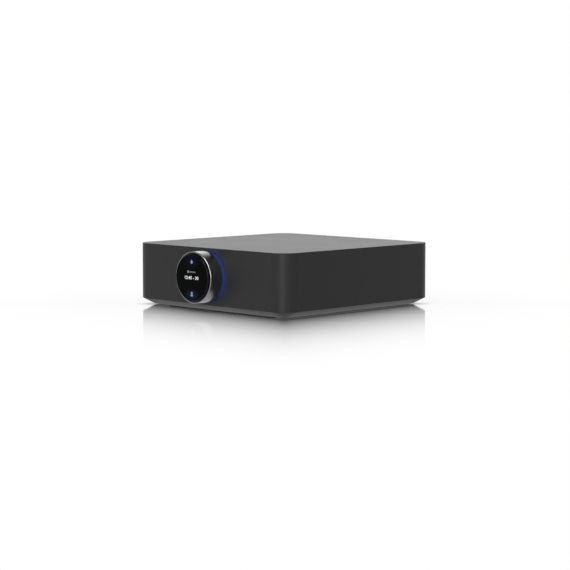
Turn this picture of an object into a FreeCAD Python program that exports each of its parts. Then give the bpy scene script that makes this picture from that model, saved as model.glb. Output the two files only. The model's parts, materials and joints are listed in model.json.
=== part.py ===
import FreeCAD, Part
import math
import os
from FreeCAD import Vector

# Streaming amplifier with a turning display dial, in millimetres.
# x runs across the case, y from the front to the back, z up.
# The origin is on the table, under the middle of the case.

# Case
case_width = 217.0
case_depth = 217.0
case_height = 63.7
corner_radius = 18.0
wall = 2.6
top_wall = 2.4
edge_break = 0.4
column_width = 8.0
column_inset = 18.0
column_gap = 2.2

# Base and feet
bevel_height = 6.3
bevel_inset = 12.1
floor_wall = 2.4
skirt_wall = 2.5
lip_height = 2.5
lip_wall = 1.6
seam_clearance = 0.2
foot_length = 150.0
foot_width = 9.0
foot_corner = 2.0
centre_pad = 16.0
foot_height = 0.8
foot_inset = 20.0
slot_count = 7
slot_length = 46.0
slot_width = 3.0
slot_pitch = 7.5

# Clearances
running_gap = 0.3
bearing_gap = 0.05
seat_gap = 0.05
hole_sides = 16

# Dial
dial_reach = 17.8
dial_gap = 3.3
dial_edge_gap = 2.7
dial_wall = 1.6
dial_chamfer = 0.4
web_thickness = 2.2
hub_wall = 2.2
hub_sides = 8
bush_wall = 1.3
magnet_width = 2.4
magnet_sides = 16
magnet_thickness = 3.0
magnet_gap = 0.6

# Display in the dial
glass_stand = 2.0
glass_thickness = 2.6
glass_bevel = 1.2
glass_overhang = 0.3
display_width = 28.0
display_height = 32.0
display_thickness = 4.5
pocket_depth = 7.0
stem_radius = 5.5
stem_bore = 4.0
stem_tail = 1.5
nut_width = 16.0
nut_thickness = 4.0
carrier_sides = 16
cable_width = 7.0
cable_thickness = 0.4
cable_bend = 4.0

# Light ring and its holder
guide_step = 0.3
guide_wall = 3.3
guide_sides = 16
guide_clearance = 0.2
tab_reach = 5.7
tab_height = 16.0
tab_thickness = 2.0
led_count = 16
led_size = 1.6
led_height = 0.7
led_board_thickness = 1.0
mount_width = 76.0
mount_thickness = 2.5
mount_trim = 0.5
pad_width = 8.0
well_clearance = 3.0
well_depth = 7.9
well_wall = 2.0
sensor_width = 10.0
sensor_height = 4.8
sensor_board_thickness = 1.0
sensor_chip_size = 3.0
sensor_chip_thickness = 1.1

# Sunk connector tray
recess_depth = 18.0
panel_wall = 1.8
panel_lip = 0.4
panel_flange = 2.2
panel_clearance = 0.2
opening_side = 20.5
opening_low = 5.3
opening_top = 7.3
opening_radius = 8.0
cutout_clearance = 0.2

# Mains inlet
inlet_width = 27.0
inlet_height = 19.8
inlet_depth = 20.5
bezel_width = 30.7
bezel_height = 22.6
bezel_thickness = 1.5
inlet_mouth_width = 24.2
inlet_mouth_height = 16.8
inlet_mouth_depth = 16.0
inlet_mouth_corner = 5.0
pin_spacing = 14.0
pin_rise = 2.0
pin_width = 2.0
pin_height = 4.0
pin_length = 14.5

# Signal sockets
socket_stand = 0.5
ethernet_width = 16.0
ethernet_height = 13.5
ethernet_depth = 21.5
ethernet_mouth_width = 11.9
ethernet_mouth_height = 7.0
ethernet_mouth_depth = 14.0
ethernet_floor = 1.6
latch_width = 6.2
latch_height = 2.2
contact_count = 8
contact_pitch = 1.02
contact_width = 0.45
contact_reach = 9.0
hdmi_width = 15.2
hdmi_height = 5.9
hdmi_depth = 11.5
hdmi_wall = 0.5
hdmi_corner = 1.6
hdmi_back = 2.0
tongue_width = 12.4
tongue_thickness = 1.0
tongue_setback = 1.5
optical_width = 9.8
optical_height = 10.4
optical_depth = 14.5
optical_mouth_width = 6.2
optical_mouth_height = 5.8
optical_mouth_depth = 9.5
optical_rim = 1.4
flap_thickness = 0.7
flap_overlap = 0.5
reset_width = 6.0
reset_height = 6.0
reset_depth = 6.2
reset_hole_radius = 1.0
reset_button_width = 2.4
reset_button_length = 2.5
reset_setback = 1.0
reset_travel = 0.5
reset_slot = 6.0

# Phono sockets
rca_pitch = 14.0
rca_block_width = 16.0
rca_block_depth = 10.0
rca_nose_inset = 1.0
rca_nose_stand = 0.4
rca_radius = 4.15
rca_wall = 0.7
rca_reach = 9.2
rca_core_setback = 1.0
rca_bore = 1.65

# Speaker posts
post_pitch = 19.05
post_block_width = 36.0
post_block_depth = 12.0
post_block_top = 8.5
nose_inset = 1.0
nose_stand = 1.0
stud_radius = 3.0
shank_width = 6.6
stud_reach = 15.5
banana_radius = 2.02
banana_depth = 19.0
thread_clearance = 0.06
washer_width = 12.4
washer_thickness = 1.2
post_cap_radius = 7.2
post_cap_length = 13.6
post_cap_play = 0.1
grip_count = 12
grip_depth = 0.7

# Circuit boards
standoff_height = 11.4
standoff_width = 6.0
standoff_inset = 6.0
board_thickness = 1.6
board_gap = 2.0
board_side_gap = 3.5
board_front_gap = 34.0
board_rear_gap = 0.5
board_margin = 1.0
front_strip = 18.0
display_socket_width = 10.0
display_socket_depth = 4.0
display_socket_height = 2.2
display_socket_inset = 6.0
ribbon_width = 12.0
ribbon_thickness = 1.0
ribbon_rise = 9.0
ribbon_bend = 3.0
ribbon_inset = 5.0
antenna_length = 34.0
antenna_width = 9.0

# Parts on the main board
processor_size = 17.0
processor_height = 2.0
memory_length = 12.0
memory_width = 9.0
memory_height = 1.2
memory_pitch = 16.0
fin_thickness = 1.4
cooler_length = 36.0
cooler_width = 34.0
cooler_base = 2.5
cooler_height = 14.0
cooler_fins = 7
shield_length = 24.0
shield_width = 30.0
shield_height = 3.4
shield_wall = 0.4

# Parts on the amplifier board
amp_chip_size = 13.0
amp_chip_height = 2.2
amp_cooler_length = 52.0
amp_cooler_width = 44.0
amp_cooler_base = 4.0
amp_cooler_height = 25.0
amp_cooler_fins = 9
inductor_size = 12.5
inductor_height = 9.5
inductor_pitch = 16.0
inductor_edge = 1.5
film_length = 7.0
film_width = 13.0
film_height = 11.5
film_pitch = 9.0

# Parts on the power board
transformer_length = 30.0
transformer_width = 34.0
transformer_height = 27.0
transformer_limb = 7.0
winding_stand = 4.0
bulk_radius = 11.0
bulk_height = 30.0
choke_length = 20.0
choke_width = 24.0
choke_height = 17.0
choke_limb = 5.0
heat_plate_thickness = 2.5
heat_plate_length = 34.0
heat_plate_height = 26.0
heat_plate_fins = 5
heat_plate_reach = 6.0
heat_plate_inset = 1.5

# Levels and faces that follow from the sizes
front_y = -case_depth / 2
back_y = case_depth / 2
side_x = case_width / 2
inner_front_y = front_y + wall
inner_back_y = back_y - wall
inner_side_x = side_x - wall
seam_z = foot_height + bevel_height
ceiling_z = case_height - top_wall
floor_z = foot_height + floor_wall
board_low_z = floor_z + standoff_height
board_z = board_low_z + board_thickness
foot_y = back_y - foot_inset
slot_x = side_x / 3

# The dial fills the front wall up to an even gap
dial_z = (seam_z + case_height) / 2
dial_radius = (case_height - seam_z) / 2 - dial_edge_gap
dial_front_y = front_y - dial_reach
dial_back_y = front_y - dial_gap
dial_bore = dial_radius - dial_wall
web_y = dial_back_y - web_thickness
glass_front_y = dial_front_y - glass_stand
glass_back_y = glass_front_y + glass_thickness
glass_radius = dial_bore - running_gap
carrier_radius = glass_radius - glass_overhang
carrier_back_y = web_y - running_gap
display_back_y = glass_back_y + display_thickness

# The light guide passes through the front wall and its tabs are trapped behind it
guide_radius = dial_radius - guide_step
guide_bore = guide_radius - guide_wall
guide_front_y = dial_back_y + running_gap
guide_back_y = inner_front_y + tab_thickness
tab_x = guide_radius + tab_reach
led_front_y = guide_back_y + running_gap
led_board_y = led_front_y + led_height
mount_front_y = led_board_y + led_board_thickness
mount_back_y = mount_front_y + mount_thickness
mount_half_height = guide_radius - mount_trim

# The hub runs on a bush round the fixed stem, inside a square well
bush_bore = stem_radius + bearing_gap
bush_radius = (bush_bore + bush_wall) / math.cos(math.pi / hub_sides)
hub_bore = bush_radius + seat_gap
hub_radius = hub_bore + hub_wall
magnet_bore = hub_radius + seat_gap
magnet_radius = magnet_bore + magnet_width
well_half = magnet_radius + well_clearance
well_floor_y = mount_front_y + well_depth
well_back_y = well_floor_y + well_wall
hub_back_y = well_floor_y - running_gap
sensor_board_y = well_floor_y - sensor_board_thickness
sensor_face_y = sensor_board_y - sensor_chip_thickness
magnet_back_y = sensor_face_y - magnet_gap
stem_end_y = well_back_y + nut_thickness + stem_tail

# Connector tray
panel_y = back_y - recess_depth
panel_inner_y = panel_y - panel_wall
opening_x = side_x - opening_side
opening_z = (seam_z + opening_low, case_height - opening_top)
post_z = (opening_z[0] + opening_z[1]) / 2
tray_inset = panel_clearance + panel_wall
tray_x = opening_x - tray_inset
column_x = side_x - column_inset
column_y = panel_inner_y - column_gap - column_width / 2
socket_front_y = panel_y + socket_stand
board_front_y = inner_front_y + board_front_gap
board_back_y = panel_inner_y - board_rear_gap


def spread(low, high, sizes):
    """Middles of things that are laid out with even gaps between low and high."""
    gap = (high - low - sum(sizes)) / (len(sizes) + 1)
    middles = []
    edge = low + gap
    for size in sizes:
        middles.append(edge + size / 2)
        edge += size + gap
    return middles


def around(middle, size):
    """The span of a size about its middle."""
    return (middle - size / 2, middle + size / 2)


def both_sides(x, y):
    """Four places that mirror each other across the case."""
    return [(across, along) for across in (-x, x) for along in (-y, y)]


# Connectors stand along the tray with even gaps, and the boards follow them
connector_widths = [bezel_width, ethernet_width, hdmi_width, optical_width]
connector_widths += [reset_slot, rca_block_width, post_block_width]
connector_middles = spread(-tray_x, tray_x, connector_widths)
inlet_x, ethernet_x, hdmi_x, optical_x, reset_x, rca_x, post_x = connector_middles
power_span = (-inner_side_x + board_side_gap, inlet_x + bezel_width / 2 + board_margin)
main_span = (power_span[1] + board_gap, rca_x + rca_block_width / 2 + board_margin)
amp_span = (main_span[1] + board_gap, inner_side_x - board_side_gap)
power_x = sum(power_span) / 2
main_x = sum(main_span) / 2
amp_x = sum(amp_span) / 2
inlet_z = board_z + inlet_height / 2
hdmi_z = board_z + hdmi_height / 2
optical_z = board_z + optical_height / 2
reset_z = board_z + reset_height / 2
rca_places = [(rca_x, board_z + rca_pitch / 2), (rca_x, board_z + rca_pitch * 1.5)]
post_block_z = (board_z, post_z + post_pitch / 2 + post_block_top)
rca_block_z = (board_z, board_z + rca_pitch * 2)
post_board_y = panel_inner_y - post_block_depth - board_thickness
post_places = {
    "left_minus": (post_x - post_pitch / 2, post_z - post_pitch / 2),
    "left_plus": (post_x - post_pitch / 2, post_z + post_pitch / 2),
    "right_minus": (post_x + post_pitch / 2, post_z - post_pitch / 2),
    "right_plus": (post_x + post_pitch / 2, post_z + post_pitch / 2),
}


def block(x, y, z):
    """A block from three spans."""
    return Part.makeBox(x[1] - x[0], y[1] - y[0], z[1] - z[0], Vector(x[0], y[0], z[0]))


def placed(x, y, z, width, length, height):
    """A block by its middle in plan and its underside."""
    return block(around(x, width), around(y, length), (z, z + height))


def rod_y(x, z, radius, span):
    return Part.makeCylinder(radius, span[1] - span[0], Vector(x, span[0], z), Vector(0, 1, 0))


def rod_z(x, y, radius, span):
    return Part.makeCylinder(radius, span[1] - span[0], Vector(x, y, span[0]), Vector(0, 0, 1))


def tube_y(x, z, radius, bore, span):
    return rod_y(x, z, radius, span).cut(rod_y(x, z, bore, span))


def group(shapes):
    """Separate solids that share one node."""
    return Part.makeCompound(shapes)


def polygon_face(points):
    return Part.Face(Part.makePolygon(points + [points[0]]))


def rounded_wire(first, second, radius, place):
    """A rectangle with round corners, where place turns its two measures into a point."""
    corners = [
        (first[1] - radius, second[1] - radius),
        (first[0] + radius, second[1] - radius),
        (first[0] + radius, second[0] + radius),
        (first[1] - radius, second[0] + radius),
    ]
    arcs = []
    for number, (across, up) in enumerate(corners):
        angles = [math.radians(90 * number + step) for step in (0, 45, 90)]
        arcs.append([place(across + radius * math.cos(a), up + radius * math.sin(a)) for a in angles])
    edges = []
    for number, arc in enumerate(arcs):
        following = arcs[(number + 1) % len(arcs)]
        edges.append(Part.Arc(*arc).toShape())
        edges.append(Part.LineSegment(arc[2], following[0]).toShape())
    return Part.Wire(edges)


def level_wire(inset, z):
    """The case's outline, drawn in by an inset, at a height."""
    x = (inset - side_x, side_x - inset)
    y = (front_y + inset, back_y - inset)
    return rounded_wire(x, y, corner_radius - inset, lambda across, along: Vector(across, along, z))


def case_prism(inset, z):
    return Part.Face(level_wire(inset, z[0])).extrude(Vector(0, 0, z[1] - z[0]))


def tapered_prism(inset, z, taper):
    """A prism of the case's outline whose walls slope in by a taper towards its underside."""
    body = case_prism(inset, (z[0], z[1] + edge_break))
    rim = [edge for edge in body.Edges if edge.BoundBox.ZMax < z[1]]
    return body.makeChamfer(z[1] - z[0], taper, rim).common(case_prism(inset, z))


def upright_prism(half_width, z, radius, y):
    """A prism with round corners, seen from behind, that runs along y."""
    wire = rounded_wire((-half_width, half_width), z, radius, lambda across, up: Vector(across, y[0], up))
    return Part.Face(wire).extrude(Vector(0, y[1] - y[0], 0))


def turned(outline):
    """A body turned about the dial's axis, from points of radius and y."""
    face = polygon_face([Vector(radius, y, 0) for radius, y in outline])
    body = face.revolve(Vector(0, 0, 0), Vector(0, 1, 0), 360)
    body.translate(Vector(0, 0, dial_z))
    return body


def bent_path(points, radius):
    """Straight runs joined by tangent arcs."""
    edges = []
    start = points[0]
    for before, corner, after in zip(points, points[1:], points[2:]):
        back = (before - corner).normalize()
        ahead = (after - corner).normalize()
        half_turn = back.getAngle(ahead) / 2
        setback = radius / math.tan(half_turn)
        inward = (back + ahead).normalize()
        centre = corner + inward * (radius / math.sin(half_turn))
        arc_start = corner + back * setback
        arc_end = corner + ahead * setback
        edges.append(Part.LineSegment(start, arc_start).toShape())
        edges.append(Part.Arc(arc_start, centre - inward * radius, arc_end).toShape())
        start = arc_end
    edges.append(Part.LineSegment(start, points[-1]).toShape())
    return Part.Wire(edges)


def flat_cable(points, bend, width, thickness, broad):
    """A flat cable along a bent path, broad in the direction given."""
    run = (points[1] - points[0]).normalize()
    side = broad * (width / 2)
    thin = run.cross(broad) * (thickness / 2)
    start = points[0]
    corners = [start + side + thin, start - side + thin, start - side - thin, start + side - thin]
    profile = Part.makePolygon(corners + [corners[0]])
    return bent_path(points, bend).makePipeShell([profile], True, False)


def finned(x, y, z, base, fins):
    """A cooler with upright fins that run along y, extruded from its end view."""
    pitch = (x[1] - x[0] - fin_thickness) / (fins - 1)
    points = [Vector(x[0], y[0], z[0]), Vector(x[1], y[0], z[0])]
    for number in range(fins):
        right = x[1] - number * pitch
        left = right - fin_thickness
        points += [Vector(right, y[0], z[1]), Vector(left, y[0], z[1])]
        if number < fins - 1:
            valley = z[0] + base
            points += [Vector(left, y[0], valley), Vector(right - pitch, y[0], valley)]
    return polygon_face(points).extrude(Vector(0, y[1] - y[0], 0))


def many_sided(x, z, corner, sides, y):
    """A prism of equal sides along y, from its corner radius."""
    points = []
    for number in range(sides):
        angle = 2 * math.pi * number / sides
        points.append(Vector(x + corner * math.cos(angle), y[0], z + corner * math.sin(angle)))
    return polygon_face(points).extrude(Vector(0, y[1] - y[0], 0))


def hexagon(x, z, width, y):
    """A six sided prism along y, from its width across the flats."""
    return many_sided(x, z, width / 2 / math.cos(math.pi / 6), 6, y)


def sided_hole(x, z, radius, y):
    """A many sided hole that clears a round part of the radius given."""
    return many_sided(x, z, radius / math.cos(math.pi / hole_sides), hole_sides, y)


def case_shell():
    """Top and four walls in one piece, with columns to the base and pads for the dial's holder."""
    outer = case_prism(0, (seam_z, case_height))
    rim = [edge for edge in outer.Edges if edge.BoundBox.ZMin > case_height - edge_break]
    outer = outer.makeChamfer(edge_break, rim)
    shell = outer.cut(case_prism(wall, (seam_z, ceiling_z)))
    guide_hole = rod_y(0, dial_z, guide_radius + guide_clearance, (front_y, inner_front_y))
    opening = upright_prism(opening_x, opening_z, opening_radius, (inner_back_y, back_y))
    shell = shell.cut([guide_hole, opening])
    column_height = ceiling_z + top_wall / 2 - floor_z
    carriers = [
        placed(x, y, floor_z, column_width, column_width, column_height)
        for x, y in both_sides(column_x, column_y)
    ]
    pad_span = (inner_front_y - wall / 2, mount_front_y)
    for x, z in both_sides(mount_width / 2 - pad_width / 2, mount_half_height - pad_width / 2):
        carriers.append(block(around(x, pad_width), pad_span, around(dial_z + z, pad_width)))
    return shell.fuse(carriers)


def standoff_places(span):
    """Four posts near the corners of a board, clear of the case columns."""
    inset = standoff_inset
    front = board_front_y + inset
    rear = column_y - column_width / 2 - board_margin - inset
    return [(x, y) for x in (span[0] + inset, span[1] - inset) for y in (front, rear)]


def base_pan():
    """Lower tray whose skirt slopes in from the walls to the flat underside."""
    slope = bevel_inset / bevel_height
    outer = tapered_prism(0, (foot_height, seam_z), bevel_inset)
    inner = tapered_prism(slope * skirt_wall, (floor_z, seam_z), slope * (seam_z - floor_z))
    lip_x = inner_side_x - seam_clearance
    lip_y = inner_back_y - seam_clearance
    straight_x = side_x - corner_radius
    straight_y = back_y - corner_radius
    lip_span = (seam_z - lip_wall / 2, seam_z + lip_height)
    lips = []
    for side in (-1, 1):
        across = sorted((side * lip_x, side * (lip_x - lip_wall)))
        along = sorted((side * lip_y, side * (lip_y - lip_wall)))
        lips.append(block(across, (-straight_y, straight_y), lip_span))
        lips.append(block((-straight_x, straight_x), along, lip_span))
    places = standoff_places(power_span) + standoff_places(main_span) + standoff_places(amp_span)
    posts = [placed(x, y, floor_z, standoff_width, standoff_width, standoff_height) for x, y in places]
    pan = outer.cut(inner).fuse(lips + posts)
    slots = []
    for number in range(slot_count):
        along = (number - (slot_count - 1) / 2) * slot_pitch
        for middle in (-slot_x, slot_x):
            slots.append(block(around(middle, slot_length), around(along, slot_width),
                               (foot_height, floor_z)))
    return pan.cut(slots)


def feet():
    """Rubber strips under the front and the back and a pad in the middle, with cut corners."""
    feet_bodies = []
    for y, length, width in (
        (-foot_y, foot_length, foot_width),
        (0, centre_pad, centre_pad),
        (foot_y, foot_length, foot_width),
    ):
        foot = placed(0, y, 0, length, width, foot_height)
        uprights = [edge for edge in foot.Edges if edge.BoundBox.ZLength > foot_height / 2]
        feet_bodies.append(foot.makeChamfer(foot_corner, uprights))
    return group(feet_bodies)


def dial_ring():
    """Turning ring: sleeve with a bevelled front edge, a closed back and an eight sided hub."""
    sleeve = turned([
        (dial_bore, dial_front_y),
        (dial_radius - dial_chamfer, dial_front_y),
        (dial_radius, dial_front_y + dial_chamfer),
        (dial_radius, dial_back_y),
        (0, dial_back_y),
        (0, web_y),
        (dial_bore, web_y),
    ])
    hub = many_sided(0, dial_z, hub_radius, hub_sides, (dial_back_y, hub_back_y))
    return sleeve.fuse(hub).cut(many_sided(0, dial_z, hub_bore, hub_sides, (web_y, hub_back_y)))


def dial_bush():
    """Plain bearing round the fixed stem, keyed in the hub by its flats."""
    span = (web_y, hub_back_y)
    return many_sided(0, dial_z, bush_radius, hub_sides, span).cut(rod_y(0, dial_z, bush_bore, span))


def encoder_magnet():
    """Ring of sixteen poles, keyed on the hub."""
    span = (magnet_back_y - magnet_thickness, magnet_back_y)
    poles = many_sided(0, dial_z, magnet_radius, magnet_sides, span)
    return poles.cut(many_sided(0, dial_z, magnet_bore, hub_sides, span))


def encoder_board():
    """Small sensor board on the floor of the well, facing the magnet."""
    top = dial_z - hub_radius - running_gap
    board_body = block(around(0, sensor_width), (sensor_board_y, well_floor_y), (top - sensor_height, top))
    chip = block(around(0, sensor_chip_size), (sensor_face_y, sensor_board_y), (top - sensor_chip_size, top))
    return board_body.fuse(chip)


def display_glass():
    """Round cover glass whose edge slopes back to the ring."""
    return turned([
        (0, glass_front_y),
        (glass_radius - glass_bevel, glass_front_y),
        (glass_radius, glass_front_y + glass_bevel),
        (glass_radius, glass_back_y),
        (0, glass_back_y),
    ])


def display_panel():
    return block(around(0, display_width), (glass_back_y, display_back_y), around(dial_z, display_height))


def display_carrier():
    """Fixed body behind the glass, with a pocket and a hollow stem clamped in the holder."""
    body = many_sided(0, dial_z, carrier_radius, carrier_sides, (glass_back_y, carrier_back_y))
    stem = rod_y(0, dial_z, stem_radius, (carrier_back_y, stem_end_y))
    bore = rod_y(0, dial_z, stem_bore, (glass_back_y, stem_end_y))
    pocket = block(around(0, display_width + 2 * running_gap), (glass_back_y, glass_back_y + pocket_depth),
                   around(dial_z, display_height + 2 * running_gap))
    return body.fuse(stem).cut([pocket, bore])


def display_cable():
    """Flat cable from the display, through the stem, down to the main board."""
    turn_y = (stem_end_y + board_front_y) / 2
    socket_z = board_z + display_socket_height / 2
    points = [
        Vector(0, display_back_y, dial_z),
        Vector(0, turn_y, dial_z),
        Vector(0, turn_y, socket_z),
        Vector(0, board_front_y + display_socket_inset, socket_z),
    ]
    return flat_cable(points, cable_bend, cable_width, cable_thickness, Vector(1, 0, 0))


def stem_nut():
    span = (well_back_y, well_back_y + nut_thickness)
    return hexagon(0, dial_z, nut_width, span).cut(sided_hole(0, dial_z, stem_radius + seat_gap, span))


def light_guide():
    """Clear ring that shows as a band of light between the dial and the wall, with two tabs."""
    span = (guide_front_y, guide_back_y)
    tabs = block((-tab_x, tab_x), (inner_front_y, guide_back_y), around(dial_z, tab_height))
    body = rod_y(0, dial_z, guide_radius, span).fuse(tabs)
    return body.cut(many_sided(0, dial_z, guide_bore, guide_sides, span))


def led_board():
    span = (led_board_y, mount_front_y)
    plate = block((-guide_radius, guide_radius), span, around(dial_z, 2 * mount_half_height))
    return plate.cut(block((-well_half, well_half), span, around(dial_z, 2 * well_half)))


def ring_leds():
    middle_radius = (guide_radius + guide_bore) / 2
    lamps = []
    for number in range(led_count):
        lamp = block(around(0, led_size), (led_front_y, led_board_y), around(middle_radius, led_size))
        lamp.rotate(Vector(0, 0, 0), Vector(0, 1, 0), 360 * number / led_count)
        lamp.translate(Vector(0, 0, dial_z))
        lamps.append(lamp)
    return group(lamps)


def dial_mount():
    """Moulded holder behind the front wall: plate, bars on the guide's tabs, and a square well."""
    rows = around(dial_z, 2 * mount_half_height)
    outer_half = well_half + well_wall
    holder = [block(around(0, mount_width), (mount_front_y, mount_back_y), rows)]
    holder.append(block((-outer_half, outer_half), (mount_front_y, well_back_y),
                        around(dial_z, 2 * outer_half)))
    for side in (-1, 1):
        bar = sorted((side * (guide_radius + running_gap), side * tab_x))
        holder.append(block(bar, (guide_back_y, mount_front_y), around(dial_z, tab_height)))
    cuts = [block((-well_half, well_half), (mount_front_y, well_floor_y), around(dial_z, 2 * well_half))]
    cuts.append(sided_hole(0, dial_z, stem_radius + seat_gap, (well_floor_y, well_back_y)))
    return holder[0].fuse(holder[1:]).removeSplitter().cut(cuts)


def nose(x, width, z, inset, y):
    """The part of a connector block that stands through the tray, set in from the block's sides."""
    return block(around(x, width - 2 * inset), y, (z[0] + inset, z[1] - inset))


def rear_panel():
    """Sunk tray that holds the sockets, with a flange behind the rear wall."""
    tray_z = (opening_z[0] + tray_inset, opening_z[1] - tray_inset)
    outer_z = (opening_z[0] + panel_clearance, opening_z[1] - panel_clearance)
    tray = upright_prism(opening_x - panel_clearance, outer_z, opening_radius - panel_clearance,
                         (panel_inner_y, back_y - panel_lip))
    flange_x = opening_x + panel_flange
    flange = block((-flange_x, flange_x), (inner_back_y - panel_wall, inner_back_y),
                   (opening_z[0] - panel_flange, opening_z[1] + panel_flange))
    hollow = upright_prism(tray_x, tray_z, opening_radius - tray_inset, (panel_y, back_y - panel_lip))
    through = (panel_inner_y, panel_y)
    relief = 2 * cutout_clearance
    cuts = [hollow]
    cuts.append(block(around(inlet_x, inlet_width + relief), through, around(inlet_z, inlet_height + relief)))
    for x, width, height in (
        (ethernet_x, ethernet_width, ethernet_height),
        (hdmi_x, hdmi_width, hdmi_height),
        (optical_x, optical_width, optical_height),
    ):
        cuts.append(block(around(x, width + relief), through,
                          (board_z - cutout_clearance, board_z + height + cutout_clearance)))
    cuts.append(rod_y(reset_x, reset_z, reset_hole_radius, through))
    cuts.append(nose(rca_x, rca_block_width, rca_block_z, rca_nose_inset - cutout_clearance, through))
    cuts.append(nose(post_x, post_block_width, post_block_z, nose_inset - cutout_clearance, through))
    return tray.fuse(flange).cut(cuts)


def power_inlet():
    """Three pin mains inlet with two slanted upper corners in its mouth."""
    front = panel_y + bezel_thickness
    back = panel_y - inlet_depth
    body = block(around(inlet_x, inlet_width), (back, panel_y), around(inlet_z, inlet_height))
    bezel = block(around(inlet_x, bezel_width), (panel_y, front), around(inlet_z, bezel_height))
    x = around(inlet_x, inlet_mouth_width)
    z = around(inlet_z, inlet_mouth_height)
    corner = inlet_mouth_corner
    start = front - inlet_mouth_depth
    outline = [(x[0], z[0]), (x[1], z[0]), (x[1], z[1] - corner), (x[1] - corner, z[1]),
               (x[0] + corner, z[1]), (x[0], z[1] - corner)]
    mouth = polygon_face([Vector(across, start, up) for across, up in outline])
    return body.fuse(bezel).cut(mouth.extrude(Vector(0, inlet_mouth_depth, 0)))


def inlet_pins():
    start = panel_y + bezel_thickness - inlet_mouth_depth
    span = (start, start + pin_length)
    places = [(-pin_spacing / 2, -pin_rise), (0, pin_rise), (pin_spacing / 2, -pin_rise)]
    return group([
        block(around(inlet_x + x, pin_width), span, around(inlet_z + z, pin_height)) for x, z in places
    ])


latch_z = board_z + ethernet_floor
ethernet_mouth_z = (latch_z + latch_height, latch_z + latch_height + ethernet_mouth_height)


def ethernet_jack():
    """Network socket with a notch for the plug's latch under its mouth."""
    front = socket_front_y
    span = (front - ethernet_mouth_depth, front)
    body = block(around(ethernet_x, ethernet_width), (front - ethernet_depth, front),
                 (board_z, board_z + ethernet_height))
    mouth = block(around(ethernet_x, ethernet_mouth_width), span, ethernet_mouth_z)
    latch = block(around(ethernet_x, latch_width), span, (latch_z, ethernet_mouth_z[0]))
    return body.cut(mouth.fuse(latch))


def ethernet_contacts():
    """Spring contacts that slope down from the back of the mouth."""
    top = ethernet_mouth_z[1]
    middle = top - ethernet_mouth_height / 2
    back = socket_front_y - ethernet_mouth_depth
    contacts = []
    for number in range(contact_count):
        x = ethernet_x + (number - (contact_count - 1) / 2) * contact_pitch
        outline = [(back, top - contact_width), (back, top - 2 * contact_width),
                   (back + contact_reach, middle), (back + contact_reach, middle + contact_width)]
        face = polygon_face([Vector(x - contact_width / 2, y, z) for y, z in outline])
        contacts.append(face.extrude(Vector(contact_width, 0, 0)))
    return group(contacts)


def hdmi_outline(inset, y):
    """Wide top and slanted lower corners, drawn in by an inset."""
    x = around(hdmi_x, hdmi_width - 2 * inset)
    z = around(hdmi_z, hdmi_height - 2 * inset)
    corner = hdmi_corner
    outline = [(x[0] + corner, z[0]), (x[1] - corner, z[0]), (x[1], z[0] + corner),
               (x[1], z[1]), (x[0], z[1]), (x[0], z[0] + corner)]
    return polygon_face([Vector(across, y, up) for across, up in outline])


def hdmi_port():
    start = socket_front_y - hdmi_depth
    shell = hdmi_outline(0, start).extrude(Vector(0, hdmi_depth, 0))
    hollow = hdmi_outline(hdmi_wall, start + hdmi_back)
    return shell.cut(hollow.extrude(Vector(0, hdmi_depth - hdmi_back, 0)))


def hdmi_tongue():
    start = socket_front_y - hdmi_depth + hdmi_back
    return block(around(hdmi_x, tongue_width), (start, socket_front_y - tongue_setback),
                 around(hdmi_z + tongue_thickness / 2, tongue_thickness))


# The flap hangs just behind the rim of the optical socket's mouth
optical_mouth_z = around(optical_z, optical_mouth_height)
flap_y = socket_front_y - optical_rim - running_gap - flap_thickness / 2
flap_top_z = optical_mouth_z[1] + flap_overlap
flap_half_width = optical_mouth_width / 2 + flap_overlap


def optical_jack():
    """Optical socket with a rimmed mouth and a wider space behind it for the open flap."""
    front = socket_front_y
    body = block(around(optical_x, optical_width), (front - optical_depth, front),
                 (board_z, board_z + optical_height))
    mouth = block(around(optical_x, optical_mouth_width), (front - optical_rim, front), optical_mouth_z)
    half = flap_half_width + running_gap
    space = block((optical_x - half, optical_x + half), (front - optical_mouth_depth, front - optical_rim),
                  (optical_mouth_z[0] - running_gap, flap_top_z + running_gap))
    return body.cut([mouth, space])


def optical_shutter():
    span = (optical_x - flap_half_width, optical_x + flap_half_width)
    return block(span, around(flap_y, flap_thickness), (optical_mouth_z[0], flap_top_z))


reset_front_y = panel_inner_y - reset_setback
reset_back_y = reset_front_y - reset_button_length
reset_face_y = reset_front_y - 2 * reset_travel


def reset_switch():
    body = block(around(reset_x, reset_width), (reset_face_y - reset_depth, reset_face_y),
                 (board_z, board_z + reset_height))
    guide = reset_button_width + 2 * running_gap
    bore = block(around(reset_x, guide), (reset_back_y - reset_travel - running_gap, reset_face_y),
                 around(reset_z, guide))
    return body.cut(bore)


def reset_button():
    return block(around(reset_x, reset_button_width), (reset_back_y, reset_front_y),
                 around(reset_z, reset_button_width))


rca_end_y = panel_y + rca_reach
rca_core_y = (panel_inner_y - rca_block_depth, rca_end_y - rca_core_setback)
rca_nose_y = panel_y + rca_nose_stand


def rca_block():
    """Plastic block whose nose stands through the tray, with a bored core in each phono socket."""
    body = block(around(rca_x, rca_block_width), (rca_core_y[0], panel_inner_y), rca_block_z)
    front = nose(rca_x, rca_block_width, rca_block_z, rca_nose_inset, (panel_inner_y, rca_nose_y))
    core_radius = rca_radius - rca_wall - seat_gap
    cores = [rod_y(x, z, core_radius, (rca_nose_y, rca_core_y[1])) for x, z in rca_places]
    holes = [rod_y(x, z, rca_bore, rca_core_y) for x, z in rca_places]
    return body.fuse([front] + cores).cut(holes)


def rca_shells():
    return group([
        tube_y(x, z, rca_radius, rca_radius - rca_wall, (rca_nose_y, rca_end_y)) for x, z in rca_places
    ])


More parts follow.
